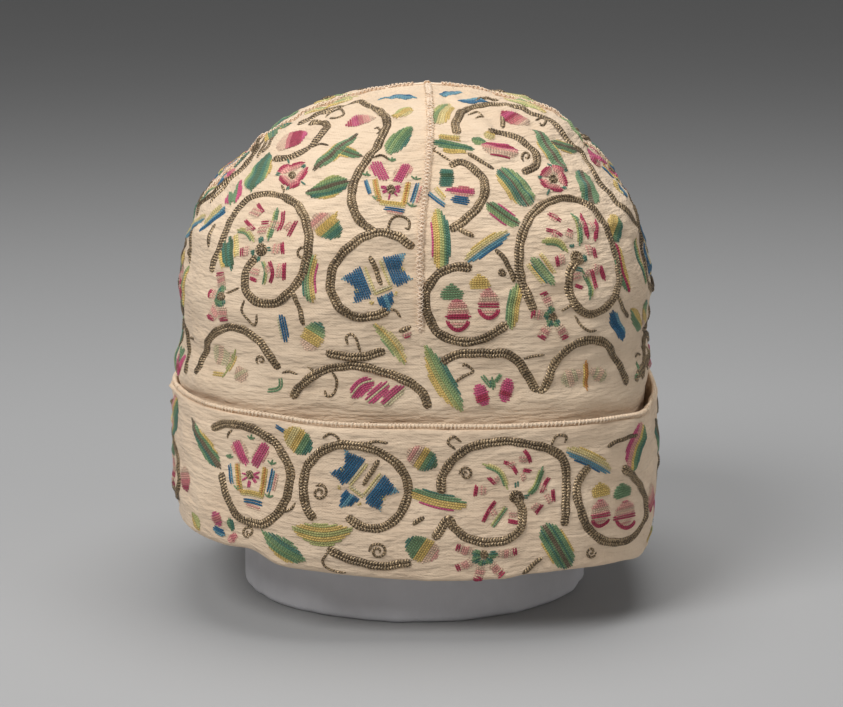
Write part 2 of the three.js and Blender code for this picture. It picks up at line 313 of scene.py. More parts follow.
class ClothSurface:
    """A face of the cap that carries needlework: places on it are an angle and a rise."""

    reach = 0.0
    hem = 0.2
    end_clear = 1.5
    stitch_clear = 2.0
    front_turn = 96.0
    sample_turn = 2.0
    sample_rows = 70
    puckers: tuple[Puckers, ...] = ()

    def measure(self, points: Sequence[Pixel], per_span: int) -> None:
        """Smooths the section through (radius, height) points, and measures the way along it."""
        smooth = rounded_curve(points, per_span)
        smooth[:, 0] = np.maximum(smooth[:, 0], 0.0)
        self.profile = smooth
        self.rises = lengths_along(smooth)
        self.reach = float(self.rises[-1])

    def section_at(self, rise: Array) -> tuple[Array, Array]:
        """Radius and height of the section at some rises."""
        radius, height = (np.interp(rise, self.rises, self.profile[:, column]) for column in (0, 1))
        return radius, height

    def base(self, angle: Array, rise: Array) -> Array:
        """The smooth cloth's outer face, without its puckers.

        Args:
            angle: degrees from the front.
            rise: millimetres up the cloth.

        Returns:
            The points in millimetres, one row each.
        """
        raise NotImplementedError

    def flat(self, angle: Array, rise: Array) -> Array:
        """Places on the cloth laid flat, in millimetres, from the angles and rises of each face's corners."""
        raise NotImplementedError

    def relief(self, angle: Array, rise: Array) -> Array:
        """How far the puckers stand out of the smooth cloth."""
        return sum(layer.at(angle, rise) for layer in self.puckers)

    def tangents(self, angle: Array, rise: Array) -> tuple[Array, Array]:
        """The ways round the cloth and up it.

        Args:
            angle: degrees from the front.
            rise: millimetres up the cloth.

        Returns:
            Millimetres of movement for each radian round, and for each millimetre up.
        """
        turn, up = 0.2, 0.3
        low, high = np.clip(rise - up, 0.0, self.reach), np.clip(rise + up, 0.0, self.reach)
        round_way = self.base(angle + turn, rise) - self.base(angle - turn, rise)
        up_way = self.base(angle, high) - self.base(angle, low)
        return round_way / math.radians(2.0 * turn), up_way / np.maximum(high - low, 1e-6)[:, None]

    def normal(self, angle: Array, rise: Array) -> Array:
        """The direction straight out of the cloth."""
        held = np.clip(rise, 0.0, self.reach - self.end_clear)
        round_way, up_way = self.tangents(angle, held)
        out = np.cross(round_way, up_way)
        return out / np.linalg.norm(out, axis=1, keepdims=True)

    def point(self, angle: Array, rise: Array, lift: Array | float = 0.0) -> Array:
        """A place on the puckered cloth, or off it by a lift.

        Args:
            angle: degrees from the front.
            rise: millimetres up the cloth.
            lift: millimetres out of the cloth.

        Returns:
            The points in millimetres, one row each.
        """
        angle, rise = np.asarray(angle, float), np.asarray(rise, float)
        out = self.relief(angle, rise) + lift
        return self.base(angle, rise) + self.normal(angle, rise) * np.reshape(out, (-1, 1))

    @cached_property
    def samples(self) -> tuple[Array, Array, Array]:
        """Places over the cloth's front half, with their points and the directions out of the cloth."""
        angles = np.arange(-self.front_turn, self.front_turn + 1.0, self.sample_turn)
        rises = np.linspace(self.hem, self.reach - 2.0 * self.end_clear, self.sample_rows)
        angle, rise = np.meshgrid(angles, rises)
        places = np.stack([angle.ravel(), rise.ravel()], axis=1)
        return places, self.base(*places.T), self.normal(*places.T)

    def turned(self, angle: Array, turn: float) -> Array:
        """Angles moved round the cap, for a copy of the needlework."""
        return np.asarray(angle, float) + turn


class CrownSurface(ClothSurface):
    """The crown's outer face, from inside the cuff up to the apex."""

    puckers = (
        Puckers(seed=11, cells_round=46, cell_rise=4.6, height=0.42),
        Puckers(seed=12, cells_round=84, cell_rise=3.6, height=0.3),
        Puckers(seed=13, cells_round=17, cell_rise=19.0, height=0.45),
    )
    FADE_FROM_APEX = 26.0

    def __init__(self, edges: CuffEdges) -> None:
        """Smooths the profile.

        Args:
            edges: the cuff's edges, whose rim lifts the crown's foot.
        """
        self.edges = edges
        self.measure([(row.half_width, row.height) for row in CROWN_PROFILE], 24)

    def rise_at(self, height: float) -> float:
        """The rise at which the profile has a height."""
        return float(np.interp(height, self.profile[:, 1], self.rises))

    def base(self, angle: Array, rise: Array) -> Array:
        """The smooth cloth's outer face, without its puckers."""
        radius, height = self.section_at(rise)
        fade = 1.0 - smooth_step((height - CROWN_FOOT_HEIGHT) / CUFF_HEIGHT)
        lifted = height + (self.edges.rim(angle) - RIM_HEIGHT) * fade
        inwards = self.seam_valley(radius, angle, height)
        outwards = self.swell(angle, height) * (radius / CROWN_HALF_WIDTH)
        far = radius * plan_radius(angle, height) - inwards + outwards
        far = np.where(radius > 0.0, far, 0.0)
        turn = np.radians(angle)
        x = np.sin(turn) * far + LEAN * smooth_step((height - LEAN_FROM) / LEAN_RUN)
        y = -np.cos(turn) * far * DEPTH_TO_WIDTH
        return np.stack([x, y, lifted], axis=-1)

    def relief(self, angle: Array, rise: Array) -> Array:
        """How far the puckers stand out, fading at the apex where they would crowd."""
        fade = smooth_step((self.reach - np.asarray(rise, float)) / self.FADE_FROM_APEX)
        return super().relief(angle, rise) * fade

    def flat(self, angle: Array, rise: Array) -> Array:
        """Places on a flat gore: across its middle line, and up it."""
        middle = angle.mean(axis=-1, keepdims=True)
        gore = (np.floor((middle - SEAM_TURN) / QUARTER_TURN) + 0.5) * QUARTER_TURN + SEAM_TURN
        radius, _ = self.section_at(rise)
        return np.stack([np.radians(angle - gore) * radius + gore, rise], axis=-1)

    @staticmethod
    def seam_valley(radius: Array, angle: Array, height: Array) -> Array:
        """How far each seam draws the cloth in.

        Args:
            radius: the section's radius at each place.
            angle: degrees from the front.
            height: millimetres over the floor.

        Returns:
            Millimetres inwards, for each place.
        """
        past = angle - SEAM_TURN
        off_seam = np.radians(past - QUARTER_TURN * np.round(past / QUARTER_TURN)) * radius
        run = smooth_step((height - SEAM_END_HEIGHT) / SEAM_VALLEY_RUN_IN)
        near_apex = radius / (radius + SEAM_VALLEY_WIDTH)
        return SEAM_VALLEY_DEPTH * run * near_apex * np.exp(-((off_seam / SEAM_VALLEY_WIDTH) ** 2))

    @staticmethod
    def swell(angle: Array, height: Array) -> Array:
        """How far the soft dents and swells move the cloth outwards."""
        total = np.zeros(np.broadcast(angle, height).shape)
        for row in SWELLS:
            off = angle - row.angle
            away = (off - FULL_TURN * np.round(off / FULL_TURN)) / row.spread_angle
            up = (height - row.height) / row.spread_height
            total = total + row.out * np.exp(-away * away - up * up)
        return total


class CuffSurface(ClothSurface):
    """The cuff's outer face: up from inside the cap, round the fold and up to the cuff's top edge."""

    puckers = (
        Puckers(seed=21, cells_round=52, cell_rise=4.2, height=0.34),
        Puckers(seed=22, cells_round=88, cell_rise=3.4, height=0.26),
        Puckers(seed=23, cells_round=15, cell_rise=23.0, height=0.5),
    )
    FADE_FROM_FOLD = 6.0

    def __init__(self, edges: CuffEdges) -> None:
        """Smooths the section, and measures the way round.

        Args:
            edges: heights of the cuff's two edges.
        """
        self.edges = edges
        self.measure(self.section(), 8)
        self.hem = float(self.rises[np.argmin(self.profile[:, 1])])
        self.angles = np.linspace(-FULL_TURN, FULL_TURN, 2881)
        ring = self.base(self.angles, np.full(self.angles.shape, self.reach))
        ring[:, 2] = 0.0
        self.ways = lengths_along(ring)

    @staticmethod
    def section() -> list[Pixel]:
        """The cuff's section as (radius, height over the rim), from its inner leg to its top."""
        inside_cap = CROWN_PROFILE[0].half_width - CLOTH
        fold = (CUFF_HALF_WIDTH - RIM_TUCK - inside_cap) / 2.0
        outer = [(inside_cap, CUFF_INNER_LEG)]
        for step in range(FOLD_STEPS + 1):
            turn = math.pi * (1.0 + step / FOLD_STEPS)
            across = math.copysign(abs(math.cos(turn)) ** FOLD_ROUNDNESS, math.cos(turn))
            down = abs(math.sin(turn)) ** FOLD_ROUNDNESS
            outer.append((inside_cap + fold * (1.0 + across), fold * (1.0 - down)))
        outer.append((CUFF_HALF_WIDTH + CUFF_SWELL, CUFF_HEIGHT * CUFF_FULLEST))
        outer.append((CUFF_HALF_WIDTH - CUFF_SWELL, CUFF_HEIGHT * CUFF_SLACKEST))
        outer.append((CUFF_HALF_WIDTH, CUFF_HEIGHT))
        return outer

    def base(self, angle: Array, rise: Array) -> Array:
        """The smooth cloth's outer face, without its puckers."""
        radius, height = self.section_at(rise)
        rim = self.edges.rim(angle)
        stretch = (self.edges.top(angle) - rim) / CUFF_HEIGHT
        blend = smooth_step((height - CUFF_INNER_LEG) / CUFF_INNER_LEG)
        lifted = rim + height * (1.0 + (stretch - 1.0) * blend)
        far = radius * plan_radius(angle, RIM_HEIGHT)
        turn = np.radians(angle)
        return np.stack([np.sin(turn) * far, -np.cos(turn) * far * DEPTH_TO_WIDTH, lifted], axis=-1)

    def relief(self, angle: Array, rise: Array) -> Array:
        """How far the puckers stand out, held back on the inner leg, which lies against the crown."""
        off_fold = smooth_step((np.asarray(rise, float) - self.hem) / self.FADE_FROM_FOLD)
        return super().relief(angle, rise) * off_fold

    def flat(self, angle: Array, rise: Array) -> Array:
        """Places on the flat strip of the cuff."""
        return np.stack([np.radians(angle) * CUFF_HALF_WIDTH, rise], axis=-1)

    def turned(self, angle: Array, turn: float) -> Array:
        """Angles moved by a share of the way round the cuff, so that corners don't stretch a copy."""
        whole = self.ways[-1] / 2.0
        way = np.interp(angle, self.angles, self.ways) + whole * turn / FULL_TURN
        return np.interp((way - self.ways[0]) % whole, self.ways - self.ways[0], self.angles)


# The photograph's camera

@dataclass(frozen=True)
class PhotoView:
    """Where the photograph was taken from, and which place on the cloth each of its pixels shows."""

    distance: float = 1050.0
    height: float = 305.0
    pitch: float = 11.22
    focal_px: float = 2526.0
    width_px: float = 843.0
    height_px: float = 707.0
    axis_px: float = 414.0
    sensor: float = 36.0
    newton_steps: int = 5
    near_px: float = 1.0

    @property
    def side(self) -> float:
        """How far the camera stands to the right of the cap's axis."""
        return (self.width_px / 2.0 - self.axis_px) / self.focal_px * self.distance

    def pixels(self, points: Array) -> Array:
        """The pixels at which points in millimetres are seen."""
        tilt = math.radians(self.pitch)
        ahead, above = points[:, 1] + self.distance, points[:, 2] - self.height
        depth = ahead * math.cos(tilt) - above * math.sin(tilt)
        up = ahead * math.sin(tilt) + above * math.cos(tilt)
        x = self.width_px / 2.0 + self.focal_px * (points[:, 0] - self.side) / depth
        return np.stack([x, self.height_px / 2.0 - self.focal_px * up / depth], axis=1)

    def on_cloth(self, cloth: ClothSurface, course: Sequence[Pixel]) -> Array:
        """Finds the places on the cloth that some pixels show.

        Args:
            cloth: the crown or the cuff.
            course: the pixels.

        Returns:
            A row of angle and rise for each pixel.
        """
        wanted = np.asarray(course, float)
        places, points, out = cloth.samples
        facing = (out * (np.array([self.side, -self.distance, self.height]) - points)).sum(axis=1) > 0.0
        places, seen = places[facing], self.pixels(points[facing])
        nearest = np.argmin(((wanted[:, None, :] - seen[None]) ** 2).sum(axis=2), axis=1)
        place = places[nearest].copy()
        for _ in range(self.newton_steps):
            place = self.closer(cloth, place, wanted)
        missed = np.linalg.norm(self.pixels(cloth.base(*place.T)) - wanted, axis=1) > self.near_px
        place[missed] = places[nearest][missed]
        return place

    def closer(self, cloth: ClothSurface, place: Array, wanted: Array) -> Array:
        """Takes one step of Newton's method.

        Args:
            cloth: the crown or the cuff.
            place: a row of angle and rise for each pixel.
            wanted: the pixels.

        Returns:
            Places that are seen closer to the wanted pixels.
        """
        step, longest, least = 0.1, 4.0, 0.5
        here = self.pixels(cloth.base(place[:, 0], place[:, 1]))
        by_angle = (self.pixels(cloth.base(place[:, 0] + step, place[:, 1])) - here) / step
        by_rise = (self.pixels(cloth.base(place[:, 0], place[:, 1] - step)) - here) / -step
        off = wanted - here
        area = by_angle[:, 0] * by_rise[:, 1] - by_angle[:, 1] * by_rise[:, 0]
        area = np.where(np.abs(area) < least, least * np.where(area < 0.0, -1.0, 1.0), area)
        angle = (off[:, 0] * by_rise[:, 1] - off[:, 1] * by_rise[:, 0]) / area
        rise = (by_angle[:, 0] * off[:, 1] - by_angle[:, 1] * off[:, 0]) / area
        moved = place + np.clip(np.stack([angle, rise], axis=1), -longest, longest)
        moved[:, 1] = np.clip(moved[:, 1], cloth.hem, cloth.reach - cloth.stitch_clear)
        return moved

    def place_camera(self) -> None:
        """Adds the scene's camera."""
        camera = bpy.data.cameras.new("camera")
        camera.sensor_fit = "HORIZONTAL"
        camera.sensor_width = self.sensor
        camera.lens = self.focal_px * self.sensor / self.width_px
        camera.clip_end = 50.0
        holder = linked("camera", camera)
        holder.location = (self.side * MM, -self.distance * MM, self.height * MM)
        holder.rotation_euler = (math.radians(90.0 - self.pitch), 0.0, 0.0)
        bpy.context.scene.camera = holder


# Finishes

class Nodes:
    """The node tree of a material or of a group, with short ways to add to it."""

    def __init__(self, tree: Tree) -> None:
        """Keeps the tree.

        Args:
            tree: the tree that nodes are added to.
        """
        self.tree = tree

    def feed(self, node: Node, inputs: dict) -> None:
        """Sets each named or numbered input of a node to a value, or links another node's output to it."""
        for key, value in inputs.items():
            if isinstance(value, Socket):
                self.tree.links.new(value, node.inputs[key])
            else:
                node.inputs[key].default_value = value

    def put(self, kind: str, inputs: dict | None = None, **settings: object) -> Node:
        """Adds a node.

        Args:
            kind: the node's type, without its prefix.
            inputs: a value, or another node's output, for each input by name or number.
            settings: the node's own options.

        Returns:
            The node.
        """
        node = self.tree.nodes.new(f"ShaderNode{kind}")
        for key, value in settings.items():
            setattr(node, key, value)
        self.feed(node, inputs or {})
        return node

    def maths(self, operation: str, *values: Value) -> Socket:
        """The output of a maths node on some values."""
        return self.put("Math", dict(enumerate(values)), operation=operation).outputs[0]

    def blended(self, share: Value, one: Value, other: Value, way: str = "MIX") -> Socket:
        """The output of a colour mix node."""
        return self.put("Mix", {0: share, 6: one, 7: other}, data_type="RGBA", blend_type=way).outputs[2]

    def darkened(self, colour: Value, share: Socket) -> Socket:
        """A colour times a share of light."""
        grey = self.put("CombineXYZ", {0: share, 1: share, 2: share}).outputs[0]
        return self.blended(1.0, colour, grey, "MULTIPLY")

    def noise(self, vector: Socket, scale: Value, detail: float = 2.0, stretch: Colour = EVEN) -> Socket:
        """The value of a noise texture on stretched coordinates."""
        spread = self.put("Mapping", {"Vector": vector, "Scale": stretch}, vector_type="POINT").outputs[0]
        return self.put("TexNoise", {"Vector": spread, "Scale": scale, "Detail": detail}).outputs[0]

    def spread(self, value: Socket, ends: Span, to: Span = (0.0, 1.0)) -> Socket:
        """A value brought from one range to another."""
        return self.put("MapRange", {0: value, 1: ends[0], 2: ends[1], 3: to[0], 4: to[1]}).outputs[0]

    def bump(self, strength: float, deep: float, height: Socket, under: Socket | None = None) -> Socket:
        """A normal raised by a height, some millimetres deep, over the normal of a broader bump."""
        inputs = {"Strength": strength, "Distance": deep * MM, "Height": height}
        return self.put("Bump", inputs if under is None else inputs | {"Normal": under}).outputs[0]

    def group(self, group: Tree, inputs: dict) -> Node:
        """Places a node group, with its own values."""
        return self.put("Group", inputs, node_tree=group)

    def place(self) -> Socket:
        """The object's own coordinates."""
        return self.put("TexCoord").outputs["Object"]

    def flat(self, name: str) -> Socket:
        """The coordinates of a UV map."""
        return self.put("UVMap", uv_map=name).outputs[0]


def new_group(name: str, ins: dict[str, str], outs: Sequence[str], kind: str) -> tuple[Nodes, Node, Node]:
    """Starts a shader node group.

    Args:
        name: the group's name.
        ins: the socket type of each input.
        outs: the names of its outputs.
        kind: their socket type.

    Returns:
        The group's nodes, its input node and its output node.
    """
    tree = bpy.data.node_groups.new(name, "ShaderNodeTree")
    for label, socket_type in ins.items():
        tree.interface.new_socket(label, in_out="INPUT", socket_type=f"NodeSocket{socket_type}")
    for label in outs:
        tree.interface.new_socket(label, in_out="OUTPUT", socket_type=f"NodeSocket{kind}")
    return Nodes(tree), tree.nodes.new("NodeGroupInput"), tree.nodes.new("NodeGroupOutput")


class SharedEffects:
    """Node groups that several finishes use."""

    def __init__(self) -> None:
        """Builds each group once."""
        self.weave = self.plain_weave()
        self.uneven = self.uneven_tone()
        self.loops = self.row_of_loops()

    @staticmethod
    def plain_weave() -> Tree:
        """Threads that pass over and under each other, some thicker than others."""
        ins = {"Vector": "Vector", "Pitch": "Float"}
        nodes, given, result = new_group("plain_weave", ins, ("Height", "Slubs"), "Float")
        flat = given.outputs["Vector"]
        parts = nodes.put("SeparateXYZ", {0: flat}).outputs
        turn = nodes.maths("DIVIDE", math.pi, given.outputs["Pitch"])
        warp = nodes.maths("SINE", nodes.maths("MULTIPLY", parts[0], turn))
        weft = nodes.maths("SINE", nodes.maths("MULTIPLY", parts[1], turn))
        long_threads = nodes.noise(flat, 1.0, 1.0, (0.07, 1.5, 1.0))
        up_threads = nodes.noise(flat, 1.0, 1.0, (1.5, 0.07, 1.0))
        slubs = nodes.maths("MULTIPLY", nodes.maths("ADD", long_threads, up_threads), 0.5)
        height = nodes.maths("MULTIPLY_ADD", nodes.maths("MULTIPLY", warp, weft), 0.5, slubs)
        nodes.feed(result, {"Height": height, "Slubs": slubs})
        return nodes.tree

    @staticmethod
    def uneven_tone() -> Tree:
        """A colour that is lighter and darker in soft patches and small flecks."""
        ins = {"Vector": "Vector", "Colour": "Color", "Patch": "Float", "Swing": "Float"}
        nodes, given, result = new_group("uneven_tone", ins, ("Colour",), "Color")
        inputs = {"Vector": given.outputs["Vector"], "Scale": given.outputs["Patch"], "Detail": 3.0}
        off = nodes.maths("SUBTRACT", nodes.put("TexNoise", inputs).outputs[0], 0.5)
        share = nodes.maths("MULTIPLY_ADD", off, given.outputs["Swing"], 1.0)
        nodes.feed(result, {"Colour": nodes.darkened(given.outputs["Colour"], share)})
        return nodes.tree

    @staticmethod
    def row_of_loops() -> Tree:
        """Loops along a row of stitches, on a map of millimetres along it and -1 to 1 across it."""
        ins = {"Vector": "Vector", "Stitch": "Float", "Lean": "Float"}
        nodes, given, result = new_group("row_of_loops", ins, ("Height",), "Float")
        flat = given.outputs["Vector"]
        parts = nodes.put("SeparateXYZ", {0: flat}).outputs
        turn = nodes.maths("DIVIDE", 2.0 * math.pi, given.outputs["Stitch"])
        wander = nodes.maths("MULTIPLY", nodes.noise(flat, 0.6, 1.0), 5.0)
        along = nodes.maths("MULTIPLY_ADD", parts[0], turn, wander)
        off = nodes.maths("MULTIPLY", nodes.maths("ABSOLUTE", parts[1]), given.outputs["Lean"])
        wave = nodes.maths("SINE", nodes.maths("SUBTRACT", along, off))
        nodes.feed(result, {"Height": nodes.maths("MULTIPLY_ADD", wave, 0.5, 0.5)})
        return nodes.tree


def start_material(name: str) -> tuple[Material, Nodes, Node]:
    """A material with a bare Principled shader.

    Args:
        name: the material's name.

    Returns:
        The material, its nodes and its shader.
    """
    material = bpy.data.materials.new(name)
    material.use_nodes = True
    nodes = Nodes(material.node_tree)
    nodes.tree.nodes.clear()
    shader = nodes.put("BsdfPrincipled")
    nodes.put("OutputMaterial", {0: shader.outputs[0]})
    return material, nodes, shader


@dataclass(frozen=True)
class LinenFinish:
    """Plain-woven linen, finely wrinkled, on a UV map in millimetres."""

    name: str
    colour: Colour
    shade: Colour
    pitch: float = 0.55
    crease_depth: float = 1.7
    thread_depth: float = 0.12
    tone_span: Span = (0.42, 0.78)

    def material(self, effects: SharedEffects) -> Material:
        """Makes the linen's material.

        Args:
            effects: the node groups that finishes share.

        Returns:
            The material.
        """
        material, nodes, shader = start_material(self.name)
        flat = nodes.flat("cloth")
        weave = nodes.group(effects.weave, {"Vector": flat, "Pitch": self.pitch}).outputs
        creases = nodes.noise(flat, 1.0, 4.0, (0.11, 0.42, 1.0))
        fine = nodes.noise(flat, 1.0, 2.0, (0.3, 0.7, 1.0))
        patches = nodes.maths("MULTIPLY", nodes.noise(flat, 0.035, 3.0), 0.7)
        tone = nodes.maths("MULTIPLY_ADD", weave["Slubs"], 0.5, patches)
        share = nodes.spread(tone, self.tone_span)
        folds = nodes.bump(0.8, self.crease_depth, nodes.maths("MULTIPLY_ADD", fine, 0.5, creases))
        nodes.feed(shader, {
            "Base Color": nodes.blended(share, (*self.shade, 1.0), (*self.colour, 1.0)),
            "Roughness": 0.92,
            "Specular IOR Level": 0.2,
            "Sheen Weight": 0.12,
            "Sheen Roughness": 0.5,
            "Normal": nodes.bump(0.5, self.thread_depth, weave["Height"], folds),
        })
        return material


@dataclass(frozen=True)
class ThreadFinish:
    """Matt linen sewing thread."""

    name: str
    colour: Colour
    fleck: float = 900.0
    fibres: Colour = (2200.0, 2200.0, 700.0)
    fibre_depth: float = 0.2

    def material(self, effects: SharedEffects) -> Material:
        """Makes the thread's material.

        Args:
            effects: the node groups that finishes share.

        Returns:
            The material.
        """
        material, nodes, shader = start_material(self.name)
        place = nodes.place()
        inputs = {"Vector": place, "Colour": (*self.colour, 1.0), "Patch": self.fleck, "Swing": 0.6}
        nodes.feed(shader, {
            "Base Color": nodes.group(effects.uneven, inputs).outputs[0],
            "Roughness": 0.85,
            "Normal": nodes.bump(0.6, self.fibre_depth, nodes.noise(place, 1.0, 2.0, self.fibres)),
        })
        return material


@dataclass(frozen=True)
class MetalThreadFinish:
    """Silver-gilt thread, mostly tarnished, with lighter patches of wear, small bright flecks that are
    painted glints, and painted shade between its loops.
    """

    name: str
    tarnish: Colour
    # The bright gilt, shown in patches of wear and as painted glints.
    bright: Colour
    stitch: float = 1.15
    lean: float = 2.6
    fleck: float = 1500.0
    patch: float = 70.0
    # Where the mix of wear and painted glints passes from tarnish to bright gilt.
    wear_and_painted_glint_span: Span = (0.68, 0.98)
    metal_span: Span = (0.3, 0.75)
    loop_depth: float = 0.28

    def material(self, effects: SharedEffects) -> Material:
        """Makes the metal thread's material.

        Args:
            effects: the node groups that finishes share.

        Returns:
            The material.
        """
        material, nodes, shader = start_material(self.name)
        place = nodes.place()
        inputs = {"Vector": nodes.flat("stitches"), "Stitch": self.stitch, "Lean": self.lean}
        loops = nodes.group(effects.loops, inputs).outputs[0]
        flecks = nodes.noise(place, self.fleck)
        # Painted light: the crests of the loops and the small flecks are lightened, the flecks standing in
        # for glints.
        lit = nodes.maths("MULTIPLY_ADD", loops, 0.16, flecks)
        # Broad patches of wear are added to the painted light, so the mix of tarnish and bright gilt is
        # partly wear and partly painted glint.
        wear_and_painted_glint = nodes.maths("MULTIPLY_ADD", nodes.noise(place, self.patch), 0.4, lit)
        share = nodes.spread(wear_and_painted_glint, self.wear_and_painted_glint_span)
        colour = nodes.blended(share, (*self.tarnish, 1.0), (*self.bright, 1.0))
        # Painted shade: the colour is darkened in the gaps between the loops.
        colour = nodes.darkened(colour, nodes.maths("MULTIPLY_ADD", loops, 0.6, 0.45))
        inputs = {"Vector": place, "Colour": colour, "Patch": 260.0, "Swing": 0.7}
        height = nodes.maths("MULTIPLY_ADD", flecks, 0.7, loops)
        nodes.feed(shader, {
            "Base Color": nodes.group(effects.uneven, inputs).outputs[0],
            "Metallic": nodes.spread(share, (0.0, 1.0), self.metal_span),
            "Roughness": 0.4,
            "Normal": nodes.bump(0.8, self.loop_depth, height),
        })
        return material


@dataclass(frozen=True)
class SilkFinish:
    """Coloured silk in rows of small loops, with painted shade between the loops: the colour is on the mesh,
    row by row.
    """

    name: str
    stitch: float = 1.05
    lean: float = 1.4
    loop_depth: float = 0.3

    def material(self, effects: SharedEffects) -> Material:
        """Makes the silk's material.

        Args:
            effects: the node groups that finishes share.

        Returns:
            The material.
        """
        material, nodes, shader = start_material(self.name)
        dyed = nodes.put("VertexColor", layer_name="dye").outputs[0]
        flat = nodes.flat("stitches")
        inputs = {"Vector": flat, "Stitch": self.stitch, "Lean": self.lean}
        loops = nodes.group(effects.loops, inputs).outputs[0]
        fibres = nodes.noise(flat, 1.0, 2.0, (5.0, 2.6, 1.0))
        tone = nodes.group(effects.uneven, {"Vector": flat, "Colour": dyed, "Patch": 0.9, "Swing": 0.9})
        # Painted shade: the colour is darkened in the gaps between the loops.
        shade = nodes.maths("MULTIPLY_ADD", loops, 0.42, 0.7)
        height = nodes.maths("MULTIPLY_ADD", fibres, 0.5, loops)
        nodes.feed(shader, {
            "Base Color": nodes.darkened(tone.outputs[0], shade),
            "Roughness": 0.55,
            "Specular IOR Level": 0.3,
            "Sheen Weight": 0.15,
            "Normal": nodes.bump(0.8, self.loop_depth, height),
        })
        return material


@dataclass(frozen=True)
class StandClothFinish:
    """Plain pale grey cotton, stretched over the stand."""

    name: str
    colour: Colour
    pitch: float = 0.4
    fold_depth: float = 1.2
    thread_depth: float = 0.1

    def material(self, effects: SharedEffects) -> Material:
        """Makes the stand cloth's material.

        Args:
            effects: the node groups that finishes share.

        Returns:
            The material.
        """
        material, nodes, shader = start_material(self.name)
        flat = nodes.flat("cloth")
        weave = nodes.group(effects.weave, {"Vector": flat, "Pitch": self.pitch})
        inputs = {"Vector": flat, "Colour": (*self.colour, 1.0), "Patch": 0.08, "Swing": 0.16}
        folds = nodes.bump(0.35, self.fold_depth, nodes.noise(flat, 1.0, 2.0, (0.22, 0.05, 1.0)))
        nodes.feed(shader, {
            "Base Color": nodes.group(effects.uneven, inputs).outputs[0],
            "Roughness": 0.9,
            "Normal": nodes.bump(0.35, self.thread_depth, weave.outputs["Height"], folds),
        })
        return material


@dataclass(frozen=True)
class FloorFinish:
    """Smooth pale grey paper."""

    name: str
    colour: Colour

    def material(self, effects: SharedEffects) -> Material:
        """Makes the floor's material.

        Args:
            effects: the node groups that finishes share.

        Returns:
            The material.
        """
        material, nodes, shader = start_material(self.name)
        inputs = {"Vector": nodes.place(), "Colour": (*self.colour, 1.0), "Patch": 3.0, "Swing": 0.03}
        nodes.feed(shader, {
            "Base Color": nodes.group(effects.uneven, inputs).outputs[0],
            "Roughness": 0.8,
        })
        return material


# Making and dressing pieces

def linked(name: str, data: bpy.types.ID) -> Piece:
    """An object of some data, in the scene."""
    made = bpy.data.objects.new(name, data)
    bpy.context.collection.objects.link(made)
    return made


def finished(name: str, mesh: Mesh, material: Material) -> Piece:
    """Makes a piece of the cap from a mesh.

    Args:
        name: the piece's name.
        mesh: its mesh, in place, in metres.
        material: its finish.

    Returns:
        The piece, riding on the cap's body.
    """
    mesh.materials.clear()
    mesh.materials.append(material)
    piece = linked(name, mesh)
    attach(piece, BODY)
    triangles = sum(len(polygon.vertices) - 2 for polygon in mesh.polygons)
    log.info("%s: %d triangles", name, triangles)
    return piece


def smooth_mesh(bm: bmesh.types.BMesh, name: str) -> Mesh:
    """A mesh of a bmesh, shaded smooth. The bmesh is freed."""
    mesh = bpy.data.meshes.new(name)
    bm.to_mesh(mesh)
    bm.free()
    mesh.polygons.foreach_set("use_smooth", [True] * len(mesh.polygons))
    return mesh


def cloth_sheet(cloth: ClothSurface, name: str, columns: int, row: float) -> Mesh:
    """Lays one sheet of cloth all round the cap, closed at the back.

    Args:
        cloth: the surface that it follows.
        name: the mesh's name.
        columns: cells round the cap.
        row: about how far apart the rows of vertices are, in millimetres.

    Returns:
        The mesh, a single sheet whose faces look outwards, with a UV map named cloth in millimetres.
    """
    bm = bmesh.new()
    rows = round(cloth.reach / row)
    rises = np.linspace(0.0, cloth.reach, rows + 1)
    bmesh.ops.create_grid(bm, x_segments=columns, y_segments=rows, size=0.5)
    grid = np.array([vert.co for vert in bm.verts])
    column = (grid[:, 0] + 0.5) * columns
    angle = SEAM_TURN - HALF_TURN + column / columns * FULL_TURN
    rise = np.interp((grid[:, 1] + 0.5) * rows, np.arange(rows + 1), rises)
    corners = np.array([[loop.vert.index for loop in face.loops] for face in bm.faces])
    flat = cloth.flat(angle[corners], rise[corners])
    layer = bm.loops.layers.uv.new("cloth")
    for face, places in zip(bm.faces, flat):
        for loop, place in zip(face.loops, places):
            loop[layer].uv = place
    for vert, place in zip(bm.verts, cloth.point(angle, rise) * MM):
        vert.co = place
    bmesh.ops.remove_doubles(bm, verts=bm.verts, dist=WELD)
    bmesh.ops.recalc_face_normals(bm, faces=bm.faces)
    turn_outwards(bm)
    return smooth_mesh(bm, name)


def turn_outwards(bm: bmesh.types.BMesh) -> None:
    """Reverses a sheet whose outer faces look at the cap's axis."""
    outer = max(bm.faces, key=lambda face: face.calc_center_median().xy.length)
    if outer.normal.xy.dot(outer.calc_center_median().xy) < 0.0:
        bmesh.ops.reverse_faces(bm, faces=bm.faces)


def give_thickness(piece: Piece, thickness: float) -> None:
    """Thickens a sheet of cloth inwards."""
    wall = piece.modifiers.new("wall", "SOLIDIFY")
    wall.thickness = thickness * MM
    wall.offset = -1.0
    wall.use_rim = True


@dataclass(frozen=True)
class Strand:
    """One thread's way in space, with its radius."""

    points: Array
    radius: float
    closed: bool = False


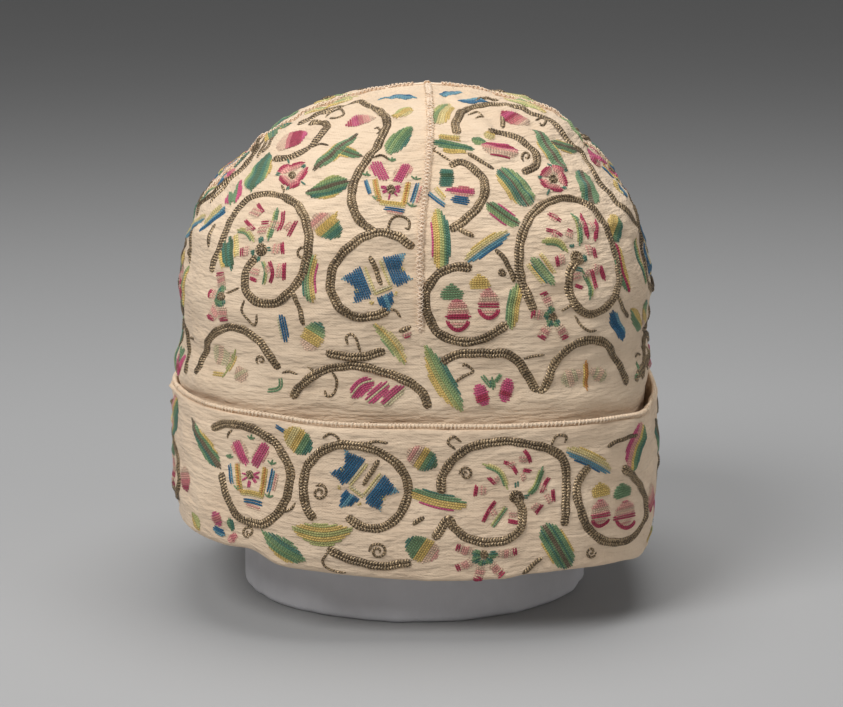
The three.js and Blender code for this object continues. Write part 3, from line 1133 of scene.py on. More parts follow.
def threads_mesh(name: str, strands: Iterable[Strand], sides_step: int = 0) -> Mesh:
    """Sweeps a round section along threads.

    Args:
        name: the mesh's name.
        strands: the threads, in millimetres.
        sides_step: 0 for four sides, 1 for more.

    Returns:
        One mesh of all the threads.
    """
    curve = bpy.data.curves.new(name, "CURVE")
    curve.dimensions = "3D"
    curve.bevel_depth = 1.0
    curve.bevel_resolution = sides_step
    curve.use_fill_caps = True
    for strand in strands:
        spline = curve.splines.new("POLY")
        spline.points.add(len(strand.points) - 1)
        four = np.concatenate([strand.points * MM, np.ones((len(strand.points), 1))], axis=1)
        spline.points.foreach_set("co", four.ravel())
        spline.points.foreach_set("radius", np.full(len(strand.points), strand.radius * MM))
        spline.use_cyclic_u = strand.closed
    holder = linked(name, curve)
    ready = holder.evaluated_get(bpy.context.evaluated_depsgraph_get())
    mesh = bpy.data.meshes.new_from_object(ready)
    bpy.data.objects.remove(holder)
    bpy.data.curves.remove(curve)
    mesh.polygons.foreach_set("use_smooth", [True] * len(mesh.polygons))
    return mesh


@dataclass
class LinenCloth:
    """The crown and the cuff: two walls of linen."""

    crown: CrownSurface
    cuff: CuffSurface
    crown_columns: int = 352
    crown_row: float = 2.0
    cuff_columns: int = 400
    cuff_row: float = 1.6

    def build(self, crown_linen: Material, cuff_linen: Material) -> None:
        """Makes both walls.

        Args:
            crown_linen: the crown's finish.
            cuff_linen: the cuff's finish.
        """
        mesh = cloth_sheet(self.crown, "crown_linen", self.crown_columns, self.crown_row)
        crown = finished("crown_linen", mesh, crown_linen)
        give_thickness(crown, CLOTH)
        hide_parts("crown")
        mesh = cloth_sheet(self.cuff, "cuff_linen", self.cuff_columns, self.cuff_row)
        cuff = finished("cuff_linen", mesh, cuff_linen)
        give_thickness(cuff, CLOTH)
        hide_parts("cuff")


@dataclass
class CuffEdging:
    """The narrow whipped edging on the cuff's top edge."""

    cuff: CuffSurface
    size: float = 2.2
    gap: float = 0.3
    stitch: float = 1.55
    steps_a_stitch: int = 7
    thread: float = 0.34
    core_share: float = 0.34
    core_steps: int = 480
    unevenness: float = 0.16
    reach_below: float = 1.35
    reach_above: float = 0.9
    seed: int = 31

    def middle(self, angle: Array) -> Array:
        """Points along the middle of the edging."""
        top = self.cuff.base(angle, np.full(angle.shape, self.cuff.reach))
        out = self.cuff.normal(angle, np.full(angle.shape, self.cuff.reach - 2.0))
        up = np.array([0.0, 0.0, 1.0])
        return top - out * CLOTH / 2.0 + up * (self.gap + self.size / 2.0)

    def build(self, material: Material) -> None:
        """Makes the cord, and the thread whipped round it.

        Args:
            material: the thread's finish.
        """
        rng = np.random.default_rng(self.seed)
        around = self.cuff.ways[-1] / 2.0
        stitches = int(around / self.stitch)
        angle = np.linspace(0.0, FULL_TURN, self.core_steps, endpoint=False)
        core = Strand(self.middle(angle), self.size * self.core_share, True)
        count = stitches * self.steps_a_stitch
        angle = np.linspace(0.0, FULL_TURN, count, endpoint=False)
        phase = np.linspace(0.0, 2.0 * math.pi * stitches, count, endpoint=False)
        swings = rng.normal(0.0, self.unevenness, stitches + 1)
        swing = np.interp(phase, 2.0 * math.pi * np.arange(stitches + 1), swings)
        radius = (self.size / 2.0 - self.thread) * (1.0 + swing)
        middle = self.middle(angle)
        out = self.cuff.normal(angle, np.full(angle.shape, self.cuff.reach - 2.0))
        up = np.array([0.0, 0.0, 1.0])
        low = np.where(np.sin(phase) < 0.0, self.reach_below, self.reach_above)
        outwards, upwards = radius * np.cos(phase), radius * low * np.sin(phase)
        wound = middle + out * outwards[:, None] + up * upwards[:, None]
        mesh = threads_mesh("cuff_edging_whipped", [core, Strand(wound, self.thread, True)])
        piece = finished("cuff_edging_whipped", mesh, material)
        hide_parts("cuff_edging")


@dataclass
class CrownSeams:
    """The four seams of the crown, joined with small crossed stitches."""

    crown: CrownSurface
    width: float = 2.8
    thread: float = 0.26
    stitch: float = 1.7
    clear: float = 0.55
    ridge_radius: float = 0.7
    ridge_sunk: float = 0.3
    ridge_longer: float = 3.5
    apex_clear: float = 5.0
    unevenness: float = 0.12
    low: float = 0.15
    high: float = 0.75
    seed: int = 41

    def stitches(self, turn: float, start: float, end: float, rng: np.random.Generator) -> list[Strand]:
        """Two threads that cross each other up one seam."""
        count = int((end - start) / self.stitch)
        strands = []
        for side in (-1.0, 1.0):
            ups, acrosses, lifts = [], [], []
            for k in range(count):
                reach = self.width / 2.0 * (1.0 + rng.normal(0.0, self.unevenness))
                way = side if k % 2 == 0 else -side
                up = start + (k + 0.5) * self.stitch + rng.normal(0.0, self.unevenness)
                for share, lift in ((1.0, self.low), (0.5, self.high), (-0.5, self.high)):
                    ups.append(up + (1.0 - share) * self.stitch * 0.4)
                    acrosses.append(way * share * reach)
                    lifts.append(self.clear + lift)
            rise = np.array(ups)
            round_way, _ = self.crown.tangents(np.full(rise.shape, turn), rise)
            radius = np.maximum(np.linalg.norm(round_way, axis=1), 4.0)
            angle = turn + np.degrees(np.array(acrosses) / radius)
            strands.append(Strand(self.crown.point(angle, rise, np.array(lifts)), self.thread))
        return strands

    def ridge(self, turn: float, start: float, end: float) -> Strand:
        """The rolled edge under the stitches."""
        rise = np.linspace(start, end, int((end - start) / 2.0))
        middle = self.crown.point(np.full(rise.shape, turn), rise, self.clear - self.ridge_sunk)
        return Strand(middle, self.ridge_radius)

    def build(self, material: Material) -> None:
        """Makes a piece for each seam, the front and back ones in one.

        Args:
            material: the thread's finish.
        """
        start = self.crown.rise_at(SEAM_END_HEIGHT)
        end = self.crown.reach - self.apex_clear
        pieces = {"seam_front_back": (0.0, 2.0), "seam_left": (-1.0,), "seam_right": (1.0,)}
        rng = np.random.default_rng(self.seed)
        for node, turns in pieces.items():
            strands = []
            for quarter in turns:
                turn = SEAM_TURN + QUARTER_TURN * quarter
                strands.append(self.ridge(turn, start, end + self.ridge_longer))
                strands += self.stitches(turn, start, end, rng)
            piece = finished(f"{node}_stitched", threads_mesh(node, strands), material)
            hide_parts(node)


@dataclass
class DisplayStand:
    """The round padded tube, covered in cloth, that carries the cap."""

    crown: CrownSurface
    radius: float = 72.5
    wall: float = 14.0
    shoulder: float = 12.0
    edge: float = 2.5
    gap: float = 0.5
    steps: int = 160
    tuck_height: float = 30.0
    proud: float = 0.45
    tucks: Puckers = Puckers(seed=51, cells_round=70, cell_rise=40.0, height=0.32)
    folds: Puckers = Puckers(seed=52, cells_round=23, cell_rise=60.0, height=0.3)

    def under_crown(self, radius: float) -> float:
        """Height of the crown's inner face over a circle round the axis, where it is lowest."""
        heights = []
        rise = np.linspace(self.crown.rise_at(SEAM_END_HEIGHT), self.crown.reach - 5.0, 160)
        for angle in np.arange(0.0, FULL_TURN, 5.0):
            turns = np.full(rise.shape, angle)
            inner = self.crown.point(turns, rise, -CLOTH)
            far = np.hypot(inner[:, 0], inner[:, 1])
            heights.append(float(np.interp(-radius, -far, inner[:, 2])))
        return min(heights)

    def section(self) -> list[Pixel]:
        """The tube's section as (radius, height), from its inner foot outwards and up."""
        inner, shoulder = self.radius - self.wall, self.radius - self.shoulder
        foot = [(self.radius - self.edge * (1.0 - math.sin(turn)), self.edge * 1.2 * (1.0 - math.cos(turn)))
                for turn in np.linspace(0.0, math.pi / 2.0, 6)]
        sides = [(self.radius, height) for height in (6.0, 10.0, 16.0, 24.0, 34.0, 50.0, 86.5, 120.0)]
        top_radius = self.radius - 3.8
        top = [(self.radius - 0.8, self.under_crown(self.radius) - self.edge - self.gap),
               (top_radius, self.under_crown(top_radius) - self.gap),
               (shoulder, self.under_crown(shoulder) - self.gap),
               (inner, self.under_crown(shoulder) - self.edge - self.gap)]
        return [(inner, 0.0), *foot, *sides, *top, (inner, 86.5)]

    def build(self, material: Material) -> None:
        """Makes the stand by turning its section once round.

        Args:
            material: the cloth's finish.
        """
        bm = bmesh.new()
        verts = [bm.verts.new((x * MM, 0.0, z * MM)) for x, z in self.section()]
        edges = [bm.edges.new(pair) for pair in zip(verts, verts[1:] + verts[:1])]
        bmesh.ops.spin(bm, geom=verts + edges, cent=(0, 0, 0), axis=(0, 0, 1), dvec=(0, 0, 0),
                       angle=2.0 * math.pi, steps=self.steps, use_merge=True, use_duplicate=False)
        bmesh.ops.remove_doubles(bm, verts=bm.verts, dist=WELD)
        bmesh.ops.recalc_face_normals(bm, faces=bm.faces)
        self.add_tucks(bm)
        layer = bm.loops.layers.uv.new("cloth")
        for face in bm.faces:
            middle = face.calc_center_median()
            turn = math.atan2(middle.x, -middle.y)
            for loop in face.loops:
                spot = loop.vert.co
                off = math.atan2(spot.x, -spot.y) - turn
                off -= 2.0 * math.pi * round(off / (2.0 * math.pi))
                loop[layer].uv = ((turn + off) * self.radius, spot.z / MM + spot.xy.length / MM)
        piece = finished("stand_cover", smooth_mesh(bm, "stand_cover"), material)
        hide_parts("display_stand")

    def add_tucks(self, bm: bmesh.types.BMesh) -> None:
        """Draws the cloth in by small tucks round its foot."""
        for vert in bm.verts:
            far = vert.co.xy.length / MM
            if far < self.radius - self.edge - 0.5 or vert.co.z > 0.1:
                continue
            angle = math.degrees(math.atan2(vert.co.x, -vert.co.y))
            height = vert.co.z / MM
            fade = float(smooth_step(1.0 - height / self.tuck_height))
            out = float(self.tucks.at(np.array(angle), np.array(0.0))) * fade
            out += float(self.folds.at(np.array(angle), np.array(height)))
            grown = min(1.0 + out / far, (self.radius + self.proud) / far)
            vert.co.x *= grown
            vert.co.y *= grown


# Needlework

class Silk(Enum):
    """Dyes of the silk: red, green and blue from 0 to 255."""

    CRIMSON = (182, 60, 88)
    MAGENTA = (208, 90, 128)
    ROSE = (216, 128, 130)
    PINK = (230, 168, 154)
    PALE = (232, 198, 170)
    BLUE = (48, 104, 138)
    SKY = (108, 156, 172)
    TEAL = (82, 128, 108)
    GREEN = (120, 152, 110)
    DARK = (86, 114, 84)
    VEIN = (120, 106, 84)
    LEAF = (152, 174, 118)
    LIME = (190, 190, 122)
    YELLOW = (222, 190, 112)
    STRAW = (228, 208, 146)
    CREAM = (216, 202, 164)
    ORANGE = (214, 150, 82)

    @property
    def light(self) -> Array:
        """The dye as linear light."""
        share = np.array(self.value) / 255.0
        return np.where(share > 0.04045, ((share + 0.055) / 1.055) ** 2.4, share / 12.92)


Silks = Sequence[Silk]
CRIMSON, MAGENTA, ROSE, PINK, PALE, BLUE, SKY, TEAL, GREEN = list(Silk)[:9]
DARK, VEIN, LEAF, LIME, YELLOW, STRAW, CREAM, ORANGE = list(Silk)[9:]


# Millimetres on the cloth that a pixel of a patch's width measures, at least and at most
NARROWEST_PIXEL = 0.36
WIDEST_PIXEL = 0.8


class Form(Enum):
    """Widths of a patch at even steps from its first end to its last, as shares of its widest."""

    LEAF = (0.0, 0.52, 0.82, 0.98, 1.0, 0.9, 0.7, 0.4, 0.0)
    POD = (0.3, 0.78, 0.93, 0.99, 1.0, 0.99, 0.93, 0.78, 0.3)
    OVAL = (0.08, 0.66, 0.87, 0.97, 1.0, 0.97, 0.87, 0.66, 0.08)
    PETAL = (0.3, 0.46, 0.64, 0.82, 0.95, 1.0, 0.95, 0.74, 0.3)
    BAR = (0.8, 1.0, 1.01, 1.0, 1.0, 1.0, 1.01, 1.0, 0.8)
    LOBE = (0.72, 0.9, 1.0, 1.0, 0.92, 0.76, 0.56, 0.32, 0.04)
    CAP = (1.0, 0.99, 0.97, 0.92, 0.85, 0.75, 0.6, 0.4, 0.1)


class Rows(Enum):
    """Which way the rows of stitches run on a patch."""

    ALONG = "along"
    ACROSS = "across"


@dataclass(frozen=True)
class Row:
    """One row of stitches on flat cloth: its line in millimetres, and its share of the way across."""

    line: Array
    share: float


@dataclass(frozen=True)
class Patch:
    """One patch of close stitches: its middle line and widest width in pixels, and its silks.

    The silks run from left to right, as someone sees them who looks from the first end of the
    middle line to the last, or from the first end to the last where the rows run across.
    """

    form: Form
    course: tuple[Pixel, ...]
    wide: float
    silks: tuple[Silk, ...]
    rows: Rows = Rows.ALONG

    @property
    def pixels(self) -> Array:
        """The middle line, then the two ends of the widest width."""
        course = np.array(self.course, float)
        way = course[-1] - course[0]
        square = np.array([-way[1], way[0]]) / max(np.hypot(*way), 1e-6) * self.wide / 2.0
        centre = course.mean(axis=0) if len(course) == 2 else course[len(course) // 2]
        return np.concatenate([course, [centre - square, centre + square]])

    def laid(self, flat: Array, pitch: float) -> list[Row]:
        """Lays the rows inside the form.

        Args:
            flat: the patch's pixels as they lie on flat cloth, in millimetres.
            pitch: millimetres from row to row.

        Returns:
            The rows.
        """
        wide = float(np.linalg.norm(flat[-1] - flat[-2]))
        wide = min(max(wide, NARROWEST_PIXEL * self.wide), WIDEST_PIXEL * self.wide)
        line = rounded_curve(flat[:-2], 8)
        lengths = lengths_along(line)
        long = lengths[-1]
        widths = np.array(self.form.value)
        shares = np.linspace(0.0, 1.0, len(widths))
        across = self.rows is Rows.ACROSS
        count = max(len(self.silks), round((long if across else wide) / pitch))
        made = []
        for k in range(count):
            share = (k + 0.5) / count
            if across:
                reach = np.full(2, share * long)
                off = np.array([0.5, -0.5]) * wide * np.interp(share, shares, widths)
            else:
                fine = np.linspace(0.0, 1.0, 65)
                within = fine[np.interp(fine, shares, widths) >= abs(2.0 * share - 1.0) - 1e-6]
                if not len(within):
                    continue
                reach = np.linspace(within[0], within[-1], 9) * long
                off = np.full(9, (0.5 - share) * wide)
            spot, left = self.beside(line, lengths, reach)
            made.append(Row(spot + left * off[:, None], share))
        return made

    @staticmethod
    def beside(line: Array, lengths: Array, reach: Array) -> tuple[Array, Array]:
        """Points on a line at some lengths, and the directions to the left of it there."""
        near = [np.stack([np.interp(reach + step, lengths, line[:, axis]) for axis in (0, 1)], axis=1)
                for step in (-0.3, 0.0, 0.3)]
        way = near[2] - near[0]
        way /= np.maximum(np.linalg.norm(way, axis=1, keepdims=True), 1e-9)
        return near[1], np.stack([-way[:, 1], way[:, 0]], axis=1)


@dataclass(frozen=True)
class Field:
    """A patch of close stitches inside an outline of pixels.

    The rows run straight, along a way in degrees from the right and upwards. The silks run from
    left to right, as someone sees them who looks along the rows.
    """

    outline: tuple[Pixel, ...]
    way: float
    silks: tuple[Silk, ...]

    @property
    def pixels(self) -> Array:
        """The outline, then two pixels that lie along a row."""
        outline = np.array(self.outline, float)
        turn = math.radians(self.way)
        step = 3.0 * np.array([math.cos(turn), -math.sin(turn)])
        centre = outline.mean(axis=0)
        return np.concatenate([outline, [centre - step, centre + step]])

    def laid(self, flat: Array, pitch: float) -> list[Row]:
        """Lays the rows inside the outline.

        Args:
            flat: the field's pixels as they lie on flat cloth, in millimetres.
            pitch: millimetres from row to row.

        Returns:
            The rows, some of them in several parts where the outline turns inwards.
        """
        outline = flat[:-2]
        way = flat[-1] - flat[-2]
        way = way / np.linalg.norm(way)
        left = np.array([-way[1], way[0]])
        along, off = outline @ way, outline @ left
        count = max(len(self.silks), round(np.ptp(off) / pitch))
        made = []
        for k in range(count):
            share = (k + 0.5) / count
            level = off.max() - share * np.ptp(off)
            crossings = []
            for one in range(len(outline)):
                other = (one + 1) % len(outline)
                if (off[one] - level) * (off[other] - level) < 0.0:
                    part = (level - off[one]) / (off[other] - off[one])
                    crossings.append(along[one] + part * (along[other] - along[one]))
            crossings.sort()
            for start, end in zip(crossings[::2], crossings[1::2]):
                made.append(Row(np.outer([start, end], way) + left * level, share))
        return made


class Plait(Enum):
    """How many plaits lie side by side in a stem: none is a fine twisted tendril."""

    DOUBLE = 2
    SINGLE = 1
    FINE = 0


@dataclass(frozen=True)
class Stem:
    """One stem or tendril of metal thread, by its course in pixels."""

    plait: Plait
    course: tuple[Pixel, ...]


Work = Iterable[tuple[Stem | Patch | Field, Sequence[float]]]


@dataclass(frozen=True)
class Chart:
    """Needlework that is repeated round the cap, by the turns of its copies in degrees."""

    turns: tuple[float, ...]
    stems: tuple[Stem, ...] = ()
    patches: tuple[Patch | Field, ...] = ()


def double(*course: Pixel) -> Stem:
    """A broad stem of two plaits."""
    return Stem(Plait.DOUBLE, course)


def single(*course: Pixel) -> Stem:
    """A stem of one plait."""
    return Stem(Plait.SINGLE, course)


def fine(*course: Pixel) -> Stem:
    """A fine tendril."""
    return Stem(Plait.FINE, course)


def curl(centre: Pixel, radius: float, start: float, turns: float) -> Stem:
    """A tendril that winds in from a radius in pixels, from a start angle in degrees.

    Args:
        centre: the pixel that it winds round.
        radius: how far from it the tendril starts.
        start: the angle at which it starts, from the right and downwards.
        turns: how many times it goes round, clockwise where positive.

    Returns:
        The tendril.
    """
    count = max(5, int(abs(turns) * 8))
    course = []
    for k in range(count + 1):
        share = k / count
        turn = math.radians(start + FULL_TURN * turns * share)
        reach = radius * (1.0 - 0.8 * share)
        course.append((centre[0] + reach * math.cos(turn), centre[1] + reach * math.sin(turn)))
    return Stem(Plait.FINE, tuple(course))


def stitched(form: Form, wide: float, silks: Silks, *course: Pixel) -> Patch:
    """A patch whose rows run along it."""
    return Patch(form, course, wide, tuple(silks))


def banded(form: Form, wide: float, silks: Silks, *course: Pixel) -> Patch:
    """A patch whose rows run across it."""
    return Patch(form, course, wide, tuple(silks), Rows.ACROSS)


def leaf(wide: float, silks: Silks, *course: Pixel) -> Patch:
    """A pointed leaf, its rows along it."""
    return stitched(Form.LEAF, wide, silks, *course)


def pod(wide: float, silks: Silks, *course: Pixel) -> Patch:
    """A long patch with blunt ends, its rows along it."""
    return stitched(Form.POD, wide, silks, *course)


def bar(wide: float, silks: Silks, *course: Pixel) -> Patch:
    """A straight-sided patch, its rows along it."""
    return stitched(Form.BAR, wide, silks, *course)


def sprig(*course: Pixel) -> Patch:
    """A small green patch at a floret's foot."""
    return pod(5, (TEAL,), *course)


def berry(wide: float, silks: Silks, *course: Pixel) -> Patch:
    """A round patch, its rows across it."""
    return banded(Form.OVAL, wide, silks, *course)


def petal(wide: float, silks: Silks, *course: Pixel) -> Patch:
    """A petal that widens from its first end, its rows across it."""
    return banded(Form.PETAL, wide, silks, *course)


def outlined(silks: Silks, way: float, *outline: Pixel) -> Field:
    """A field of straight rows inside an outline."""
    return Field(outline, way, tuple(silks))


class Bands:
    """Narrow bands of stitches, made as one long grid that is cut between them."""

    def __init__(self, columns: int) -> None:
        """Starts with no bands.

        Args:
            columns: the number of points across each band.
        """
        self.columns = columns
        self.points: list[Array] = []
        self.maps: list[Array] = []
        self.lights: list[Array] = []

    def add(self, points: Array, maps: Array, light: Sequence[float] | Array) -> None:
        """Adds one band.

        Args:
            points: its points in millimetres, by station, column and axis.
            maps: the place of each point on the map of its stitches.
            light: its colour as linear light.
        """
        self.points.append(points)
        self.maps.append(maps)
        self.lights.append(np.tile(np.asarray(light, float), (len(points), 1)))

    def mesh(self, name: str) -> Mesh:
        """Makes one mesh of all the bands, with the layers stitches and dye.

        Args:
            name: the mesh's name.

        Returns:
            The mesh, in metres.
        """
        points, maps = np.concatenate(self.points) * MM, np.concatenate(self.maps)
        lights = np.concatenate(self.lights)
        cells = len(points) - 1
        cuts = {int(cut) - 1 for cut in np.cumsum([len(band) for band in self.points])[:-1]}
        bm = bmesh.new()
        bmesh.ops.create_grid(bm, x_segments=cells, y_segments=self.columns - 1, size=0.5)
        between = [face for face in bm.faces if int((face.calc_center_median().x + 0.5) * cells) in cuts]
        bmesh.ops.delete(bm, geom=between, context="FACES")
        mesh = smooth_mesh(bm, name)
        grid = np.empty(len(mesh.vertices) * 3)
        mesh.vertices.foreach_get("co", grid)
        grid = grid.reshape(-1, 3) + 0.5
        station = np.rint(grid[:, 0] * cells).astype(int)
        column = np.rint(grid[:, 1] * (self.columns - 1)).astype(int)
        mesh.vertices.foreach_set("co", points[station, column].ravel())
        corner = np.empty(len(mesh.loops), int)
        mesh.loops.foreach_get("vertex_index", corner)
        layer = mesh.uv_layers.new(name="stitches")
        layer.data.foreach_set("uv", maps[station, column][corner].ravel())
        opaque = np.concatenate([lights, np.ones((len(lights), 1))], axis=1)
        dye = mesh.color_attributes.new(name="dye", type="FLOAT_COLOR", domain="CORNER")
        dye.data.foreach_set("color", opaque[station][corner].ravel())
        mesh.update()
        return mesh


@dataclass
class MetalStems:
    """Plaited stems and fine tendrils of metal thread, laid on the cloth."""

    view: PhotoView
    lane: float = 2.05
    apart: float = 1.62
    stitch: float = 1.15
    high: float = 0.8
    edge: float = 0.05
    notch: float = 0.15
    tendril: float = 1.1
    tendril_high: float = 0.55
    shoulder: float = 0.72
    wander: float = 0.12
    wander_rate: float = 0.8
    end_run: float = 1.4
    end_near: float = 0.7
    end_narrow: float = 0.55
    end_low: float = 0.4
    seed: int = 71

    def way(self, cloth: ClothSurface, places: Array, turn: float) -> Way:
        """Follows a stem's middle line on the cloth.

        Args:
            cloth: the crown or the cuff.
            places: angles and rises along the charted stem.
            turn: degrees from the chart to this copy.

        Returns:
            The points, the lengths to them, and the directions out of the cloth and to the left.
        """
        angle = np.unwrap(cloth.turned(places[:, 0], turn), period=FULL_TURN)
        lengths = lengths_along(cloth.base(angle, places[:, 1]))
        count = max(4, round(lengths[-1] / self.stitch * 2.0))
        even = np.linspace(0.0, lengths[-1], count + 1)
        angle = np.interp(even, lengths, angle)
        rise = np.interp(even, lengths, places[:, 1])
        points, out = cloth.point(angle, rise), cloth.normal(angle, rise)
        left = np.cross(out, np.gradient(points, axis=0))
        left /= np.linalg.norm(left, axis=1, keepdims=True)
        return {"points": points, "lengths": even, "out": out, "left": left}

    def add_plait(self, bands: Bands, way: Way, off: float, fine: bool, phase: float) -> None:
        """Adds one plait, as an arched band with a chevron for each stitch.

        Args:
            bands: the bands so far.
            way: the stem's middle line.
            off: how far to the left of it the plait lies.
            fine: whether it is a tendril.
            phase: where its small swings from side to side start.
        """
        lengths = way["lengths"]
        column = np.arange(-2, 3)[None, :]
        step = np.arange(len(lengths))[:, None]
        near = smooth_step(np.minimum(lengths, lengths[-1] - lengths) / self.end_run)[:, None]
        wide, high = (self.tendril, self.tendril_high) if fine else (self.lane, self.high)
        across = off * from_share(self.end_near, near)
        across = across + column / 4.0 * wide * from_share(self.end_narrow, near)
        across = across + self.wander * np.sin(lengths * self.wander_rate + phase)[:, None]
        crest = np.array([high, high * self.shoulder, self.edge])[np.abs(column)]
        chevron = np.where((step + np.abs(column)) % 2 == 0, self.notch, -self.notch) * (np.abs(column) < 2)
        lift = crest * from_share(self.end_low, near) + chevron * near
        points = way["points"][:, None] + way["left"][:, None] * across[..., None]
        points = points + way["out"][:, None] * lift[..., None]
        maps = np.stack(np.broadcast_arrays(lengths[:, None] + phase, column / 2.0), axis=-1)
        bands.add(points, maps, (1.0, 1.0, 1.0))

    def build(self, name: str, cloth: ClothSurface, work: Work, metal: Material) -> None:
        """Makes one piece of stems.

        Args:
            name: the piece's name.
            cloth: the crown or the cuff.
            work: the charted stems, each with the turns of its copies.
            metal: their finish.
        """
        bands = Bands(5)
        rng = np.random.default_rng(self.seed)
        for stem, turns in work:
            places = rounded_curve(self.view.on_cloth(cloth, stem.course), 10)
            count = stem.plait.value
            for turn in turns:
                way = self.way(cloth, places, turn)
                for row in range(max(count, 1)):
                    off = (row - (count - 1) / 2.0) * self.apart if count else 0.0
                    self.add_plait(bands, way, off, count == 0, rng.uniform(0.0, 6.0))
        finished(name, bands.mesh(name), metal)


@dataclass
class SilkWork:
    """Patches of close silk stitches: each row is a raised band of loops."""

    view: PhotoView
    row: float = 0.86
    row_width: float = 0.8
    cell: float = 1.15
    edge_lift: float = 0.1
    lift: float = 0.42
    dome: float = 0.3
    ragged: float = 0.32
    rough: float = 0.05
    end_narrow: float = 0.4
    end_low: float = 0.5
    uneven: float = 0.12
    seed: int = 61

    def measured(self, cloth: ClothSurface, patch: Patch | Field) -> tuple[Array, Array, list[Row]]:
        """Measures a patch on the cloth, and lays its rows.

        Args:
            cloth: the crown or the cuff.
            patch: the charted patch.

        Returns:
            Its middle on the cloth, millimetres for each degree and each rise there, and its rows.
        """
        places = self.view.on_cloth(cloth, patch.pixels)
        middle = places[:-2].mean(axis=0)
        round_way, up_way = cloth.tangents(middle[:1], middle[1:])
        scale = np.array([math.radians(np.linalg.norm(round_way)), np.linalg.norm(up_way)])
        return middle, scale, patch.laid((places - middle) * scale, self.row)

    def band(self, row: Row, rng: np.random.Generator) -> tuple[Array, Array, Array]:
        """Shapes the band of one row on flat cloth.

        Args:
            row: the row.
            rng: the source of its unevenness.

        Returns:
            The flat places, the lifts and the stitch map of its points, by station and column.
        """
        lengths = lengths_along(row.line)
        start, end = rng.uniform(-self.ragged, self.ragged, 2)
        if lengths[-1] + end - start < self.row:
            start, end = 0.0, 0.0
        stations = max(2, round((lengths[-1] + end - start) / self.cell)) + 1
        reach = np.linspace(start, lengths[-1] + end, stations)
        held = np.clip(reach, 0.0, lengths[-1])
        spot, left = Patch.beside(row.line, lengths, held)
        ahead = np.stack([left[:, 1], -left[:, 0]], axis=1)
        middle = spot + ahead * (reach - held)[:, None]
        side = np.array([-1.0, 0.0, 1.0])
        full = np.ones(stations)
        full[[0, -1]] = self.end_low
        across = self.row_width / 2.0 * from_share(self.end_narrow, full)[:, None] * side
        flat = middle[:, None] + left[:, None] * across[..., None]
        crest = (self.lift + self.dome * 4.0 * row.share * (1.0 - row.share)) * full
        crest = crest + rng.uniform(-self.rough, self.rough, stations)
        lift = np.stack([np.full(stations, self.edge_lift), crest, np.full(stations, self.edge_lift)], axis=1)
        maps = np.stack(np.broadcast_arrays(reach[:, None] + rng.uniform(0.0, 40.0), side), axis=-1)
        return flat, lift, maps

    def add(
        self,
        bands: Bands,
        cloth: ClothSurface,
        patch: Patch | Field,
        turns: Sequence[float],
        rng: np.random.Generator,
    ) -> None:
        """Adds some copies of a patch.

        Args:
            bands: the bands so far.
            cloth: the crown or the cuff.
            patch: the charted patch.
            turns: degrees from the chart to each copy.
            rng: the source of its unevenness.
        """
        middle, scale, rows = self.measured(cloth, patch)
        count = len(patch.silks)
        for turn in turns:
            for row in rows:
                flat, lift, maps = self.band(row, rng)
                places = middle + flat / scale
                angle = cloth.turned(places[..., 0].ravel(), turn)
                points = cloth.point(angle, places[..., 1].ravel(), lift.ravel())
                light = patch.silks[min(count - 1, int(row.share * count))].light
                light = light * (1.0 + rng.uniform(-self.uneven, self.uneven))
                bands.add(points.reshape(*lift.shape, 3), maps, light)

    def build(self, name: str, cloth: ClothSurface, work: Work, silk: Material) -> None:
        """Makes one piece of patches.

        Args:
            name: the piece's name.
            cloth: the crown or the cuff.
            work: the charted patches, each with the turns of its copies.
            silk: their finish.
        """
        bands = Bands(3)
        rng = np.random.default_rng(self.seed)
        for patch, turns in work:
            self.add(bands, cloth, patch, turns, rng)
        finished(name, bands.mesh(name), silk)


# The chart, in pixels of the photograph

LEAF_GREEN = (YELLOW, GREEN, GREEN, VEIN, GREEN, GREEN, YELLOW)
PALE_ROWS = (PALE, PINK, PALE)


def tube(start: Pixel, end: Pixel, wide: float, *tip: Pixel) -> tuple[Patch, ...]:
    """One floret of a honeysuckle: pale rows from its throat to its crimson tip."""
    return banded(Form.BAR, wide, PALE_ROWS * 2, start, end), pod(4.0, (CRIMSON,), *tip)


def strawberry(cap: Pixel, body: Pixel, green: Silk, size: float = 26.0) -> tuple[Patch, ...]:
    """A strawberry that hangs from its cap: pink rows, a crimson band and a pale net in a crimson bowl."""
    x, y = body
    bowl = [(x + size * across, y + size * down)
            for across, down in ((-0.42, 0.2), (-0.33, 0.45), (0.0, 0.64), (0.33, 0.45), (0.42, 0.2))]
    top = ((cap[0], cap[1] + size * 0.34), (cap[0] - 1, cap[1] - size * 0.3))
    return (
        banded(Form.LOBE, size * 0.9, (green,), *top),
        banded(Form.CAP, size * 0.86, (PINK, PALE, PINK, PINK, ROSE), (x, y + 1), (x - 1, y - size * 0.62)),
        banded(Form.POD, size * 0.98, (CRIMSON,), (x, y + size * 0.22), (x, y)),
        banded(Form.CAP, size * 0.6, (PALE, PINK, PALE), (x, y + size * 0.26), (x, y + size * 0.54)),
        pod(4.0, (CRIMSON,), *bowl),
    )


def rose(x: float, y: float, size: float) -> tuple[Patch, ...]:
    """A round rose of five crimson-edged petals with green sepals between them."""
    def at(degrees: float, share: float) -> Pixel:
        """A pixel at an angle round the rose's middle, at a share of its radius."""
        turn = math.radians(degrees)
        return (x + math.cos(turn) * size * share, y + math.sin(turn) * size * share)

    made = []
    for turn in (-70.0, 2.0, 74.0, 146.0, 218.0):
        silks = (PALE, PINK, PINK, ROSE, CRIMSON, CRIMSON)
        made.append(petal(size * 0.95, silks, at(turn, 0.3), at(turn, 1.0)))
        made.append(leaf(3.0, (TEAL,), at(turn + 36.0, 0.85), at(turn + 36.0, 1.25)))
    return tuple(made)


